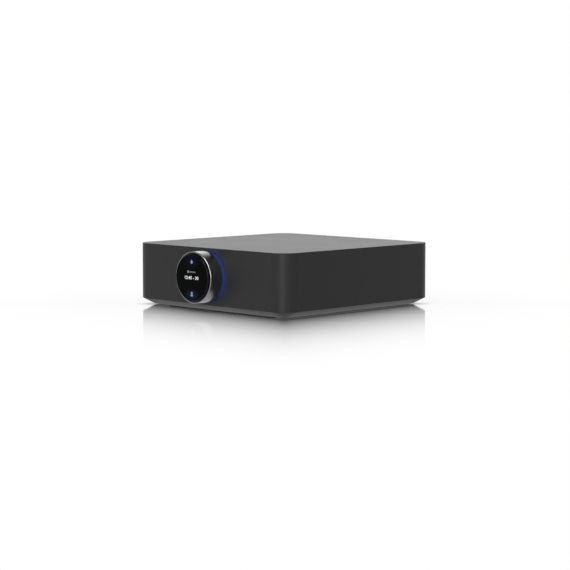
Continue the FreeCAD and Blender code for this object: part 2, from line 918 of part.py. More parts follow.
stud_start_y = panel_inner_y - post_block_depth
stud_end_y = panel_y + stud_reach
nose_y = panel_y + nose_stand
washer_y = (nose_y + post_cap_play, nose_y + post_cap_play + washer_thickness)
cap_y = (washer_y[1] + post_cap_play, washer_y[1] + post_cap_play + post_cap_length)


def post_block():
    """Insulating block whose nose stands through the tray, with square holes that key the studs."""
    body = block(around(post_x, post_block_width), (stud_start_y, panel_inner_y), post_block_z)
    front = nose(post_x, post_block_width, post_block_z, nose_inset, (panel_inner_y, nose_y))
    hole = shank_width + 2 * seat_gap
    holes = [
        block(around(x, hole), (stud_start_y, nose_y), around(z, hole)) for x, z in post_places.values()
    ]
    return body.fuse(front).cut(holes)


def post_studs():
    """Metal posts with a square shank in the block and a plug bore from the end."""
    studs = []
    for x, z in post_places.values():
        shank = block(around(x, shank_width), (stud_start_y, nose_y), around(z, shank_width))
        stud = shank.fuse(rod_y(x, z, stud_radius, (nose_y, stud_end_y)))
        studs.append(stud.cut(rod_y(x, z, banana_radius, (stud_end_y - banana_depth, stud_end_y))))
    return group(studs)


def post_board():
    """Small upright board that joins the posts to the amplifier board."""
    return block(around(post_x, post_block_width), (post_board_y, stud_start_y), post_block_z)


def post_washer(x, z):
    """Six sided clamp washer that travels with the cap and is kept from turning."""
    return hexagon(x, z, washer_width, washer_y).cut(sided_hole(x, z, stud_radius + running_gap, washer_y))


def post_cap(x, z):
    """Ribbed clamp cap that runs on the stud's thread and is open at its end."""
    points = []
    for number in range(2 * grip_count):
        angle = math.pi * number / grip_count
        radius = post_cap_radius - grip_depth * (number % 2)
        points.append(Vector(x + radius * math.cos(angle), cap_y[0], z + radius * math.sin(angle)))
    body = polygon_face(points).extrude(Vector(0, post_cap_length, 0))
    return body.cut(rod_y(x, z, stud_radius + thread_clearance, cap_y))


def board(span):
    """A circuit board, cut away round the case columns."""
    plate = block(span, (board_front_y, board_back_y), (board_low_z, board_z))
    reach = column_width / 2 + board_margin
    for side in (-1, 1):
        inner = side * (column_x - reach)
        if span[0] < inner < span[1]:
            notch = sorted((inner, side * side_x))
            plate = plate.cut(block(notch, (column_y - reach, back_y), (board_low_z, board_z)))
    return plate


layout_front_y = board_front_y + front_strip
main_rows = spread(layout_front_y, socket_front_y - ethernet_depth,
                   [cooler_length, memory_length, shield_length])
amp_rows = spread(layout_front_y, post_board_y, [amp_cooler_length, inductor_pitch * 2, film_pitch * 2])
power_rows = spread(layout_front_y, panel_y - inlet_depth,
                    [transformer_length, bulk_radius * 2, choke_length])


def pairs(x, y, x_pitch, y_pitch):
    """Four middles in two rows."""
    return [(x + across * x_pitch / 2, y + along * y_pitch / 2) for across in (-1, 1) for along in (-1, 1)]


def main_chips():
    """Processor, memory and the display cable's socket."""
    chips = [placed(main_x, main_rows[0], board_z, processor_size, processor_size, processor_height)]
    for side in (-1, 1):
        x = main_x + side * memory_pitch / 2
        chips.append(placed(x, main_rows[1], board_z, memory_width, memory_length, memory_height))
    socket_y = board_front_y + display_socket_inset + display_socket_depth / 2
    chips.append(placed(0, socket_y, board_z, display_socket_width, display_socket_depth,
                        display_socket_height))
    return group(chips)


def main_cooler():
    low = board_z + processor_height
    return finned(around(main_x, cooler_width), around(main_rows[0], cooler_length),
                  (low, low + cooler_height), cooler_base, cooler_fins)


def shield_can():
    """Thin metal lid over the wireless module."""
    outer = placed(main_x, main_rows[2], board_z, shield_width, shield_length, shield_height)
    inner = placed(main_x, main_rows[2], board_z, shield_width - 2 * shield_wall,
                   shield_length - 2 * shield_wall, shield_height - shield_wall)
    return outer.cut(inner)


def antennas():
    """Two small antenna boards on the floor of the pan, beside the front columns."""
    x = column_x - column_width / 2 - column_gap - antenna_length / 2
    return group([
        placed(side * x, -column_y, floor_z, antenna_length, antenna_width, board_thickness)
        for side in (-1, 1)
    ])


def amplifier_chips():
    chips = []
    for side in (-1, 1):
        y = amp_rows[0] + side * amp_chip_size
        chips.append(placed(amp_x, y, board_z, amp_chip_size, amp_chip_size, amp_chip_height))
    return group(chips)


def amplifier_cooler():
    low = board_z + amp_chip_height
    return finned(around(amp_x, amp_cooler_width), around(amp_rows[0], amp_cooler_length),
                  (low, low + amp_cooler_height), amp_cooler_base, amp_cooler_fins)


def output_inductors():
    coils = []
    for x, y in pairs(amp_x, amp_rows[1], inductor_pitch, inductor_pitch):
        coil = placed(x, y, board_z, inductor_size, inductor_size, inductor_height)
        uprights = [edge for edge in coil.Edges if edge.BoundBox.ZLength > inductor_edge]
        coils.append(coil.makeChamfer(inductor_edge, uprights))
    return group(coils)


def film_capacitors():
    return group([
        placed(x, y, board_z, film_width, film_length, film_height)
        for x, y in pairs(amp_x, amp_rows[2], inductor_pitch, film_pitch)
    ])


def power_transformer():
    """Ferrite frame with its winding standing out at both ends."""
    y = power_rows[0]
    frame = placed(power_x, y, board_z, transformer_width, transformer_length - 2 * winding_stand,
                   transformer_height)
    winding = placed(power_x, y, board_z + transformer_limb, transformer_width - 2 * transformer_limb,
                     transformer_length, transformer_height - 2 * transformer_limb)
    return frame.fuse(winding)


def bulk_capacitor():
    return rod_z(power_x, power_rows[1], bulk_radius, (board_z, board_z + bulk_height))


def mains_choke():
    """Frame core with an open middle between its two windings."""
    core = placed(power_x, power_rows[2], board_z, choke_width, choke_length, choke_height)
    window = placed(power_x, power_rows[2], board_z + choke_limb, choke_width - 4 * choke_limb,
                    choke_length, choke_height - 2 * choke_limb)
    return core.cut(window)


def power_heatsinks():
    """Upright plates with fins, beside the transformer and the choke."""
    sinks = []
    x = power_span[0] + heat_plate_inset
    pitch = (heat_plate_length - fin_thickness) / (heat_plate_fins - 1)
    for y in (power_rows[0], power_rows[2]):
        upright = (board_z, board_z + heat_plate_height)
        sink = block((x, x + heat_plate_thickness), around(y, heat_plate_length), upright)
        fins = []
        for number in range(heat_plate_fins):
            middle = y + (number - (heat_plate_fins - 1) / 2) * pitch
            fins.append(block((x, x + heat_plate_reach), around(middle, fin_thickness), upright))
        sinks.append(sink.fuse(fins).removeSplitter())
    return group(sinks)


def supply_ribbon():
    """Flat supply cable over the main board, from the power board to the amplifier board."""
    y = board_front_y + front_strip / 2
    left = power_span[1] - ribbon_inset
    right = amp_span[0] + ribbon_inset
    high = board_z + ribbon_rise
    points = [Vector(left, y, board_z), Vector(left, y, high), Vector(right, y, high),
              Vector(right, y, board_z)]
    return flat_cable(points, ribbon_bend, ribbon_width, ribbon_thickness, Vector(0, 1, 0))


nodes = {
    "case_shell": case_shell(),
    "base_pan": base_pan(),
    "feet": feet(),
    "dial_ring": dial_ring(),
    "dial_bush": dial_bush(),
    "encoder_magnet": encoder_magnet(),
    "encoder_board": encoder_board(),
    "display_glass": display_glass(),
    "display_panel": display_panel(),
    "display_carrier": display_carrier(),
    "display_cable": display_cable(),
    "stem_nut": stem_nut(),
    "light_guide": light_guide(),
    "led_board": led_board(),
    "ring_leds": ring_leds(),
    "dial_mount": dial_mount(),
    "rear_panel": rear_panel(),
    "power_inlet": power_inlet(),
    "inlet_pins": inlet_pins(),
    "ethernet_jack": ethernet_jack(),
    "ethernet_contacts": ethernet_contacts(),
    "hdmi_port": hdmi_port(),
    "hdmi_tongue": hdmi_tongue(),
    "optical_jack": optical_jack(),
    "optical_shutter": optical_shutter(),
    "reset_switch": reset_switch(),
    "reset_button": reset_button(),
    "rca_block": rca_block(),
    "rca_shells": rca_shells(),
    "post_block": post_block(),
    "post_studs": post_studs(),
    "post_board": post_board(),
    "main_board": board(main_span),
    "main_chips": main_chips(),
    "main_cooler": main_cooler(),
    "shield_can": shield_can(),
    "antennas": antennas(),
    "amplifier_board": board(amp_span),
    "amplifier_chips": amplifier_chips(),
    "amplifier_cooler": amplifier_cooler(),
    "output_inductors": output_inductors(),
    "film_capacitors": film_capacitors(),
    "power_board": board(power_span),
    "power_transformer": power_transformer(),
    "bulk_capacitor": bulk_capacitor(),
    "mains_choke": mains_choke(),
    "power_heatsinks": power_heatsinks(),
    "supply_ribbon": supply_ribbon(),
}
for post, (across, up) in post_places.items():
    nodes[post + "_washer"] = post_washer(across, up)
    nodes[post + "_cap"] = post_cap(across, up)

os.makedirs("parts", exist_ok=True)
for name, shape in nodes.items():
    shape.exportStep("parts/" + name + ".step")
    print(name, len(shape.Solids), "solids", round(shape.Volume, 1), "mm3", shape.isValid())
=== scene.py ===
import json
import math

import bmesh
import bpy
from mathutils import Matrix, Vector


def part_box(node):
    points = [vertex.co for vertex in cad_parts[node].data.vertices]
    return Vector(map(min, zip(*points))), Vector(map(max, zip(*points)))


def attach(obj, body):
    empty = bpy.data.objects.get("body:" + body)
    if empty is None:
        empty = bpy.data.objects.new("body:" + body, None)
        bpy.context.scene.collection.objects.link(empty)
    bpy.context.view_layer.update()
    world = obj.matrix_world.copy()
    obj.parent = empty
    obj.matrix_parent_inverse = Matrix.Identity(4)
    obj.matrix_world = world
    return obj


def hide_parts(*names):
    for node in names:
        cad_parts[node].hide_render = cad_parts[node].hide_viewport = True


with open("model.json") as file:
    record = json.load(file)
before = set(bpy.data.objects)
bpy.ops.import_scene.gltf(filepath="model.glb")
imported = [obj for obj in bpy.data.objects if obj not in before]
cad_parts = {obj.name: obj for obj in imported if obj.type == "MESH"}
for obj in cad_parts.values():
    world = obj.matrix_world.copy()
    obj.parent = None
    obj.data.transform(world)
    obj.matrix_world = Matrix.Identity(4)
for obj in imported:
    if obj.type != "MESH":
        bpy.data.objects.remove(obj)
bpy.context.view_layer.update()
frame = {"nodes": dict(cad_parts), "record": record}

MM = 0.001

# Camera, worked out from the corners of the case in the photograph
IMAGE_SIZE = 570
CAMERA_AZIMUTH = 44.864
CAMERA_ELEVATION = 4.731
CAMERA_DISTANCE = 1.7326
CAMERA_TARGET = (0.0, 0.0, 0.04427)
FOCAL_PIXELS = 1677.3
CENTRE_PIXEL = (284.10, 261.09)
SENSOR_WIDTH = 36.0

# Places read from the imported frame
CASE_LOW, CASE_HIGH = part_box("case_shell")
BASE_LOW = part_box("base_pan")[0]
RING_LOW, RING_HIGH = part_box("dial_ring")
GLASS_LOW, GLASS_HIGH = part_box("display_glass")
GUIDE_LOW, GUIDE_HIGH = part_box("light_guide")
DIAL_Z = (RING_LOW.z + RING_HIGH.z) / 2
DIAL_RADIUS = (RING_HIGH.z - RING_LOW.z) / 2
GLASS_RADIUS = (GLASS_HIGH.z - GLASS_LOW.z) / 2
DIAL_CENTRE = Vector((0, 0, DIAL_Z))

# Display, in millimetres from the dial's centre
CLOCK_TEXT = "12:45 - 30"
CLOCK_SIZE = 4.3
CLOCK_WEIGHT = 0.07
CLOCK_WIDTH = 19.6
CLOCK_LEFT = -9.9
CLOCK_BASE = -1.5
LINE_BASE = 4.6
TOP_SIGN = 15.7
LOW_SIGN = -16.1
PICTURE_STAND = 0.05
GLOW_WIDTH = 11.0

# Place, height and strength of each blue glow under the glass
GLOWS = ((LOW_SIGN - 0.8, 6.0, 0.042), (TOP_SIGN, 7.5, 0.015))

# Dial, in millimetres
TURNED_STEPS = 192
GLASS_EDGE = 1.35
LIP_RADIUS = 24.5
LIP_BLEND = 0.25
GUIDE_WALL = 3.3
GUIDE_EDGE = 0.15
TAB_HEIGHT = 16.0
TAB_THICKNESS = 2.0
TAB_ROOT = 1.0
# How far the painted glow of the guide's light reaches across the front wall
SPILL_REACH = 11.0
LEAN_ANGLE = math.radians(15.0)

# Base, in millimetres
CORNER_RADIUS = 18.0
BASE_TOP = 7.1
BEVEL_INSET = 12.1
SKIRT_EDGE = 0.3
SLOT_COLUMNS = 72.4
SLOT_LENGTH = 46.0
SLOT_WIDTH = 3.0
SLOT_PITCH = 7.5
SLOT_COUNT = 7
SLOT_DEPTH = 2.4
SCREEN_COLUMNS = 96
SCREEN_ROWS = 44
SCREEN_WIRE = 0.14
SCREEN_GAP = 0.4

# Back, in millimetres
CAP_FLUTES = 18
CAP_FLUTE_DEPTH = 0.75
CAP_BORE = 3.07
PHONO_RING = {"Wall": 2.0, "Height": 1.0, "Corner": 0.25}
PHONO_RING_MARGIN = 1.25
BASE_SCREW = {"Head Radius": 3.1, "Head Height": 0.45, "Key Radius": 1.3, "Key Depth": 0.35}
BASE_SCREW_X = 90.5
BASE_SCREW_Y = 82.0
TRAY_SCREW = {"Head Radius": 2.0, "Head Height": 0.7, "Key Radius": 0.9, "Key Depth": 0.5}
TRAY_SCREW_OVER_INLET = 12.0
TRAY_SCREW_OVER_SOCKET = 1.5
TRAY_SCREW_BESIDE_PHONO = 4.0
SOCKET_STAND = 0.5

# Floor, in metres, with the shares of painted shadow and of white in it
FLOOR_REACH = 30.0
SHADE_INSET = 0.014
SHADE_WIDTH = 0.016
SHADE_SHARE = 0.6
FADE_START = 0.01
FADE_END = 0.29
MIRRORED_WHITE = 0.9

# Surround: brightness for soft light, and for reflections by height above the horizon
SOFT_LIGHT = 0.15
DOME = {"From Min": 0.4, "From Max": 0.71, "To Min": 0.95, "To Max": 0.03}

# Lamps: name, azimuth and elevation in degrees, distance, width and height in metres, watts
LAMPS = (
    ("key", 24.0, 50.0, 2.2, 1.2, 1.2, 43.0),
    ("strip", 33.0, 14.0, 2.4, 1.2, 1.1, 26.0),
    ("back", -139.0, 29.0, 2.2, 1.4, 1.3, 7.5),
)


class Finish:
    """A material whose colour, roughness and relief come from patterns on Object coordinates."""

    def __init__(self, name, colour, roughness, metallic=0.0, specular=0.5):
        self.material = bpy.data.materials.new(name)
        self.material.use_nodes = True
        self.nodes = self.material.node_tree.nodes
        self.links = self.material.node_tree.links
        self.shader = self.nodes["Principled BSDF"]
        self.colour = colour
        self.roughness = roughness
        self.set("Base Color", (*colour, 1))
        self.set("Roughness", roughness)
        self.set("Metallic", metallic)
        self.set("Specular IOR Level", specular)
        self.place = self.add("ShaderNodeTexCoord").outputs["Object"]
        self.normal = None

    def set(self, socket, value):
        self.shader.inputs[socket].default_value = value

    def add(self, kind, inputs=None, **settings):
        node = self.nodes.new(kind)
        for key, value in settings.items():
            setattr(node, key, value)
        for key, value in (inputs or {}).items():
            if isinstance(value, bpy.types.NodeSocket):
                self.links.new(value, node.inputs[key])
            else:
                node.inputs[key].default_value = value
        return node

    def moved(self, centre=(0, 0, 0), stretch=(1, 1, 1), turn=(0, 0, 0)):
        """Object coordinates about a centre, turned and stretched."""
        shifted = self.add("ShaderNodeVectorMath", {0: self.place, 1: tuple(centre)}, operation="SUBTRACT")
        inputs = {"Vector": shifted.outputs[0], "Rotation": turn, "Scale": stretch}
        return self.add("ShaderNodeMapping", inputs).outputs[0]

    def noise(self, scale, detail=2.0, rough=0.5, where=None):
        inputs = {"Vector": where or self.place, "Scale": scale, "Detail": detail, "Roughness": rough}
        return self.add("ShaderNodeTexNoise", inputs).outputs["Fac"]

    def ranged(self, value, low, high, start=0.0, end=1.0):
        inputs = {"Value": value, "From Min": start, "From Max": end, "To Min": low, "To Max": high}
        return self.add("ShaderNodeMapRange", inputs).outputs[0]

    def combined(self, first, second, operation="MULTIPLY"):
        return self.add("ShaderNodeMath", {0: first, 1: second}, operation=operation).outputs[0]

    def mixed(self, share, first, second):
        inputs = {0: share, 6: (*first, 1), 7: (*second, 1)}
        return self.add("ShaderNodeMix", inputs, data_type="RGBA").outputs[2]

    def tinted(self, pattern, other):
        """The base colour changes to another colour where the pattern is high."""
        self.links.new(self.mixed(pattern, self.colour, other), self.shader.inputs["Base Color"])

    def roughened(self, pattern, spread):
        """The roughness varies by a spread either way with the pattern."""
        value = self.ranged(pattern, self.roughness - spread, self.roughness + spread)
        self.links.new(value, self.shader.inputs["Roughness"])

    def relief(self, pattern, depth, strength=1.0):
        """Fine relief of a depth in metres, on top of what is there."""
        inputs = {"Height": pattern, "Distance": depth, "Strength": strength}
        if self.normal is not None:
            inputs["Normal"] = self.normal
        self.normal = self.add("ShaderNodeBump", inputs).outputs[0]
        self.links.new(self.normal, self.shader.inputs["Normal"])

    def glows(self, colour, strength):
        """Light given off, with a colour and either a number or a pattern for its strength."""
        self.set("Emission Color", (*colour, 1))
        if isinstance(strength, bpy.types.NodeSocket):
            self.links.new(strength, self.shader.inputs["Emission Strength"])
        else:
            self.set("Emission Strength", strength)


def satin_coat(name, colour, roughness=0.42):
    """Fine satin coat over blasted metal, with a faint mottle."""
    skin = Finish(name, colour, roughness, specular=0.16)
    mottle = skin.noise(18.0, 3.0)
    grain = skin.noise(2600.0, 2.0, 0.7)
    lighter = tuple(value * 1.12 for value in colour)
    skin.tinted(skin.combined(mottle, grain, "ADD"), lighter)
    skin.roughened(mottle, 0.03)
    skin.relief(grain, 0.00004, 0.35)
    return skin


def painted_spill_on_wall(skin):
    """Painted glow: the guide's blue light on the front wall, given off by the wall's own coat, fading away
    from the dial.
    """
    local = skin.moved(DIAL_CENTRE + Vector((0, CASE_LOW.y, 0)), (1, 40.0, 1))
    away = skin.add("ShaderNodeVectorMath", {0: local}, operation="LENGTH").outputs["Value"]
    near = skin.ranged(away, 1.0, 0.0, DIAL_RADIUS, DIAL_RADIUS + SPILL_REACH * MM)
    fade = skin.combined(skin.combined(skin.combined(near, 2.4, "POWER"), lean(skin)), 0.06)
    skin.glows((0.1, 0.25, 1.0), fade)
    return skin


def turned_metal(name, colour, roughness):
    """Machined metal with fine lines round the dial's axis and a dark lip inside its front edge."""
    skin = Finish(name, colour, roughness, metallic=1.0)
    flat = skin.moved(DIAL_CENTRE, (1, 0, 1))
    out = skin.add("ShaderNodeVectorMath", {0: flat}, operation="LENGTH").outputs["Value"]
    depth = skin.add("ShaderNodeSeparateXYZ", {"Vector": skin.place}).outputs["Y"]
    along = skin.add("ShaderNodeCombineXYZ", {"X": skin.combined(out, depth, "SUBTRACT")})
    wave = skin.add("ShaderNodeTexWave", {"Vector": along.outputs[0], "Scale": 2600.0}).outputs["Fac"]
    skin.roughened(wave, 0.03)
    lip = skin.ranged(out, 1.0, 0.0, LIP_RADIUS * MM, (LIP_RADIUS + LIP_BLEND) * MM)
    skin.tinted(lip, (0.008, 0.008, 0.008))
    skin.relief(wave, 0.000006, 0.12)
    return skin.material


def plated_metal(name, colour, roughness=0.18):
    """Plated contact metal with faint handling marks."""
    skin = Finish(name, colour, roughness, metallic=1.0)
    marks = skin.noise(700.0, 4.0, 0.6)
    skin.roughened(marks, 0.06)
    skin.tinted(skin.noise(160.0, 3.0), tuple(value * 0.86 for value in colour))
    skin.relief(marks, 0.000012, 0.4)
    return skin.material


def brushed_metal(name, colour, stretch, roughness=0.3):
    """Sheet metal with long brushed lines."""
    skin = Finish(name, colour, roughness, metallic=1.0)
    lines = skin.noise(900.0, 3.0, 0.6, skin.moved(stretch=stretch))
    skin.roughened(lines, 0.1)
    skin.tinted(lines, tuple(value * 0.85 for value in colour))
    skin.relief(lines, 0.00001, 0.4)
    return skin.material


def moulded_plastic(name, colour, roughness, grain=1500.0):
    """Moulded plastic with a fine spark-eroded grain."""
    skin = Finish(name, colour, roughness)
    texture = skin.add("ShaderNodeTexVoronoi", {"Vector": skin.place, "Scale": grain}).outputs["Distance"]
    soft = skin.noise(40.0, 3.0)
    skin.tinted(soft, tuple(min(1, value * 1.25 + 0.002) for value in colour))
    skin.roughened(soft, 0.06)
    skin.relief(texture, 0.00003, 0.35)
    return skin.material


def gloss_plastic(name, colour, roughness=0.22):
    """Smooth shiny plastic with a slight flow."""
    skin = Finish(name, colour, roughness)
    flow = skin.noise(120.0, 3.0)
    skin.roughened(flow, 0.05)
    skin.tinted(skin.noise(30.0, 2.0), tuple(value * 0.8 for value in colour))
    skin.relief(flow, 0.00001, 0.3)
    return skin.material


def rubber(name, colour, roughness=0.8, specular=0.5):
    """Rubber with a fine tooth and a little dust."""
    skin = Finish(name, colour, roughness, specular=specular)
    tooth = skin.noise(1800.0, 3.0, 0.7)
    dust = skin.noise(60.0, 4.0)
    skin.tinted(skin.ranged(dust, 0.0, 0.6, 0.45, 0.8), (0.06, 0.058, 0.055))
    skin.roughened(dust, 0.08)
    skin.relief(tooth, 0.00005, 0.5)
    return skin.material


def circuit_board(name, colour):
    """Solder mask over copper tracks."""
    skin = Finish(name, colour, 0.35)
    cells = skin.add("ShaderNodeTexBrick", {"Vector": skin.place, "Scale": 260.0, "Mortar Size": 0.03,
                                            "Color1": (0, 0, 0, 1), "Color2": (0.25, 0.25, 0.25, 1),
                                            "Mortar": (1, 1, 1, 1)})
    tracks = skin.combined(cells.outputs["Fac"], skin.noise(90.0, 2.0), "MULTIPLY")
    skin.tinted(tracks, tuple(value * 2.2 for value in colour))
    skin.relief(tracks, 0.00003, 0.6)
    return skin.material


def black_glass(name):
    """Black cover glass with the display's two soft blue glows under it."""
    skin = Finish(name, (0.0018, 0.0018, 0.002), 0.06, specular=0.012)
    smear = skin.noise(55.0, 4.0, 0.6)
    skin.roughened(smear, 0.02)
    glow = None
    for up, height, strength in GLOWS:
        centre = DIAL_CENTRE + Vector((0, GLASS_LOW.y, up * MM))
        local = skin.moved(centre, (1 / (GLOW_WIDTH * MM), 20.0, 1 / (height * MM)))
        ball = skin.add("ShaderNodeTexGradient", {"Vector": local}, gradient_type="SPHERICAL")
        spot = skin.combined(skin.ranged(ball.outputs["Fac"], 0.0, 1.0, 0.0, 0.8), strength)
        glow = spot if glow is None else skin.combined(glow, spot, "ADD")
    skin.glows((0.14, 0.3, 1.0), glow)
    return skin.material


def glass_edge(name):
    """The ground and polished edge of the cover glass, which catches the light."""
    skin = Finish(name, (0.003, 0.003, 0.003), 0.14, specular=0.07)
    grind = skin.noise(400.0, 3.0, 0.6)
    skin.roughened(grind, 0.04)
    skin.relief(grind, 0.000008, 0.4)
    return skin.material


def lean(skin):
    """A pattern that is full on the dial's right side and low on its left."""
    place = skin.add("ShaderNodeSeparateXYZ", {"Vector": skin.moved(DIAL_CENTRE, turn=(0, LEAN_ANGLE, 0))})
    return skin.ranged(place.outputs["X"], 0.25, 1.0, 0.25 * DIAL_RADIUS, 0.78 * DIAL_RADIUS)


def lit_guide(name):
    """Frosted light guide, brightest beside the wall and towards the upper right."""
    skin = Finish(name, (0.008, 0.014, 0.05), 0.5, specular=0.1)
    depth = skin.add("ShaderNodeSeparateXYZ", {"Vector": skin.place}).outputs
    ramp = skin.ranged(depth["Y"], 0.25, 1.0, GUIDE_LOW.y, CASE_LOW.y)
    cloud = skin.ranged(skin.noise(60.0, 2.0), 0.85, 1.15)
    skin.glows((0.1, 0.18, 1.0), skin.combined(skin.combined(ramp, lean(skin)), skin.combined(cloud, 0.14)))
    return skin.material


def lit_sign(name, colour, strength):
    """A lit part of the picture, with the fine grid of the display's dots."""
    skin = Finish(name, (0.01, 0.01, 0.01), 0.4)
    dots = skin.add("ShaderNodeTexChecker", {"Vector": skin.place, "Scale": 8000.0}).outputs["Fac"]
    skin.glows(colour, skin.ranged(dots, strength * 0.92, strength))
    return skin.material


def wound_wire(name, colour, pitch):
    """Enamelled wire laid in close turns."""
    skin = Finish(name, colour, 0.3)
    turns = skin.add("ShaderNodeTexWave", {"Vector": skin.place, "Scale": 1 / pitch},
                     bands_direction="Y").outputs["Fac"]
    skin.tinted(turns, tuple(value * 1.6 for value in colour))
    skin.relief(turns, 0.0002, 0.8)
    return skin.material


FINISHES = {
    # The case coat carries a painted glow of the guide's blue light around the dial
    "case": painted_spill_on_wall(satin_coat("satin_case_coat", (0.0115, 0.0115, 0.0117))).material,
    # Painted light: the base coat is a lighter copy of the case coat, so the down-facing skirt renders as
    # bright as if lit from the floor
    "base": satin_coat("satin_base_coat", (0.0148, 0.0148, 0.015), 0.4).material,
    "foot": rubber("foot_rubber", (0.085, 0.085, 0.085), 0.6, 0.9),
    "ring": turned_metal("turned_ring_metal", (0.2, 0.2, 0.202), 0.28),
    "glass": black_glass("black_cover_glass"),
    "glass_edge": glass_edge("polished_glass_edge"),
    "guide": lit_guide("lit_frosted_guide"),
    "white_light": lit_sign("white_display_light", (0.95, 0.97, 1.0), 0.95),
    "grey_light": lit_sign("grey_display_light", (0.75, 0.78, 0.82), 0.22),
    "top_light": lit_sign("dim_display_light", (0.75, 0.77, 1.0), 0.33),
    "low_light": lit_sign("pale_blue_display_light", (0.5, 0.68, 1.0), 0.4),
    "tray": moulded_plastic("tray_plastic", (0.016, 0.016, 0.017), 0.48),
    "carrier": moulded_plastic("carrier_plastic", (0.02, 0.02, 0.02), 0.6, 900.0),
    "socket": gloss_plastic("socket_plastic", (0.015, 0.015, 0.016)),
    "shutter": moulded_plastic("shutter_plastic", (0.05, 0.05, 0.055), 0.45),
    "pins": plated_metal("nickel_plating", (0.72, 0.71, 0.68)),
    "gold": plated_metal("gold_plating", (0.78, 0.56, 0.22)),
    "tin": brushed_metal("tin_plate", (0.6, 0.6, 0.6), (1, 0.15, 1)),
    "steel": brushed_metal("steel_sheet", (0.55, 0.55, 0.56), (0.2, 1, 1)),
    "screw": plated_metal("black_zinc", (0.11, 0.11, 0.115), 0.3),
    "black_cap": gloss_plastic("black_cap_plastic", (0.012, 0.012, 0.013), 0.25),
    "red_cap": gloss_plastic("red_cap_plastic", (0.5, 0.008, 0.01), 0.22),
    "mark": moulded_plastic("printed_white", (0.6, 0.6, 0.6), 0.6),
    "board": circuit_board("solder_mask", (0.008, 0.055, 0.028)),
    "chip": moulded_plastic("chip_plastic", (0.022, 0.022, 0.024), 0.55),
    "cooler": brushed_metal("extruded_cooler", (0.5, 0.5, 0.52), (1, 0.1, 1), 0.38),
    "ferrite": moulded_plastic("sintered_ferrite", (0.055, 0.055, 0.06), 0.6, 1100.0),
    "copper": wound_wire("enamelled_copper", (0.35, 0.12, 0.03), 0.006),
    "film": gloss_plastic("amber_film", (0.45, 0.2, 0.04), 0.3),
    "vinyl": rubber("ribbon_vinyl", (0.25, 0.25, 0.27)),
    "bearing": moulded_plastic("bearing_plastic", (0.62, 0.6, 0.55), 0.4),
    "led": gloss_plastic("led_lens", (0.8, 0.8, 0.72), 0.2),
    "dipped": gloss_plastic("dipped_capacitor", (0.38, 0.05, 0.03), 0.35),
    "sleeve": gloss_plastic("shrink_sleeve", (0.02, 0.02, 0.05), 0.3),
}

BODY_OF = {node: body for body, nodes in frame["record"]["behaviour"]["bodies"].items() for node in nodes}


def new_piece(name, mesh, finish, body):
    """An object at the origin that rides on a body and takes a finish."""
    piece = bpy.data.objects.new(name, mesh)
    bpy.context.scene.collection.objects.link(piece)
    mesh.materials.clear()
    mesh.materials.append(FINISHES[finish])
    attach(piece, body)
    return piece


def painted(finish, *nodes):
    """CAD nodes that stay as they are and get a finish."""
    for node in nodes:
        mesh = frame["nodes"][node].data
        mesh.materials.clear()
        mesh.materials.append(FINISHES[finish])


def smooth(mesh, angle=30.0):
    mesh.shade_smooth()
    mesh.set_sharp_from_angle(angle=math.radians(angle))


def softened(piece, width, segments=2, angle=30.0):
    """Small round edges on a piece."""
    bevel = piece.modifiers.new("edges", "BEVEL")
    bevel.width = width
    bevel.segments = segments
    bevel.limit_method = "ANGLE"
    bevel.angle_limit = math.radians(angle)
    bevel.harden_normals = True
    return piece


def merged_copy(node):
    """A CAD node's mesh with its loose triangles joined into whole faces."""
    mesh = frame["nodes"][node].data.copy()
    work = bmesh.new()
    work.from_mesh(mesh)
    bmesh.ops.remove_doubles(work, verts=work.verts, dist=0.002 * MM)
    bmesh.ops.dissolve_limit(work, angle_limit=math.radians(0.4), verts=work.verts, edges=work.edges)
    work.to_mesh(mesh)
    work.free()
    return mesh


def dressed(node, finish, edge=0.15, name=None, segments=2):
    """A smooth copy of a CAD node with softened edges, which stands for it."""
    mesh = merged_copy(node)
    smooth(mesh)
    piece = new_piece(name or node + "_shown", mesh, finish, BODY_OF[node])
    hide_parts(node)
    if edge:
        softened(piece, edge * MM, segments)
    return piece


class Tree:
    """A geometry node tree with named inputs, built one node at a time."""

    def __init__(self, name, sizes):
        self.group = bpy.data.node_groups.new(name, "GeometryNodeTree")
        sockets = self.group.interface
        sockets.new_socket("Geometry", in_out="INPUT", socket_type="NodeSocketGeometry")
        for size, (kind, value) in sizes.items():
            socket = sockets.new_socket(size, in_out="INPUT", socket_type="NodeSocket" + kind)
            if value is not None:
                socket.default_value = value
        sockets.new_socket("Geometry", in_out="OUTPUT", socket_type="NodeSocketGeometry")
        self.given = self.group.nodes.new("NodeGroupInput").outputs
        self.out = self.group.nodes.new("NodeGroupOutput")

    def add(self, kind, inputs=None, **settings):
        node = self.group.nodes.new(kind)
        for key, value in settings.items():
            setattr(node, key, value)
        for key, value in (inputs or {}).items():
            for item in value if isinstance(value, list) else [value]:
                if isinstance(item, bpy.types.NodeSocket):
                    self.group.links.new(item, node.inputs[key])
                else:
                    node.inputs[key].default_value = item
        return node

    def maths(self, operation, first, second=0.0):
        return self.add("ShaderNodeMath", {0: first, 1: second}, operation=operation).outputs[0]

    def finish(self, geometry):
        """Real faces with the material that the tree is given."""
        real = self.add("GeometryNodeRealizeInstances", {0: geometry}).outputs[0]
        named = self.add("GeometryNodeSetMaterial", {"Geometry": real, "Material": self.given["Material"]})
        self.group.links.new(named.outputs[0], self.out.inputs[0])
        return self


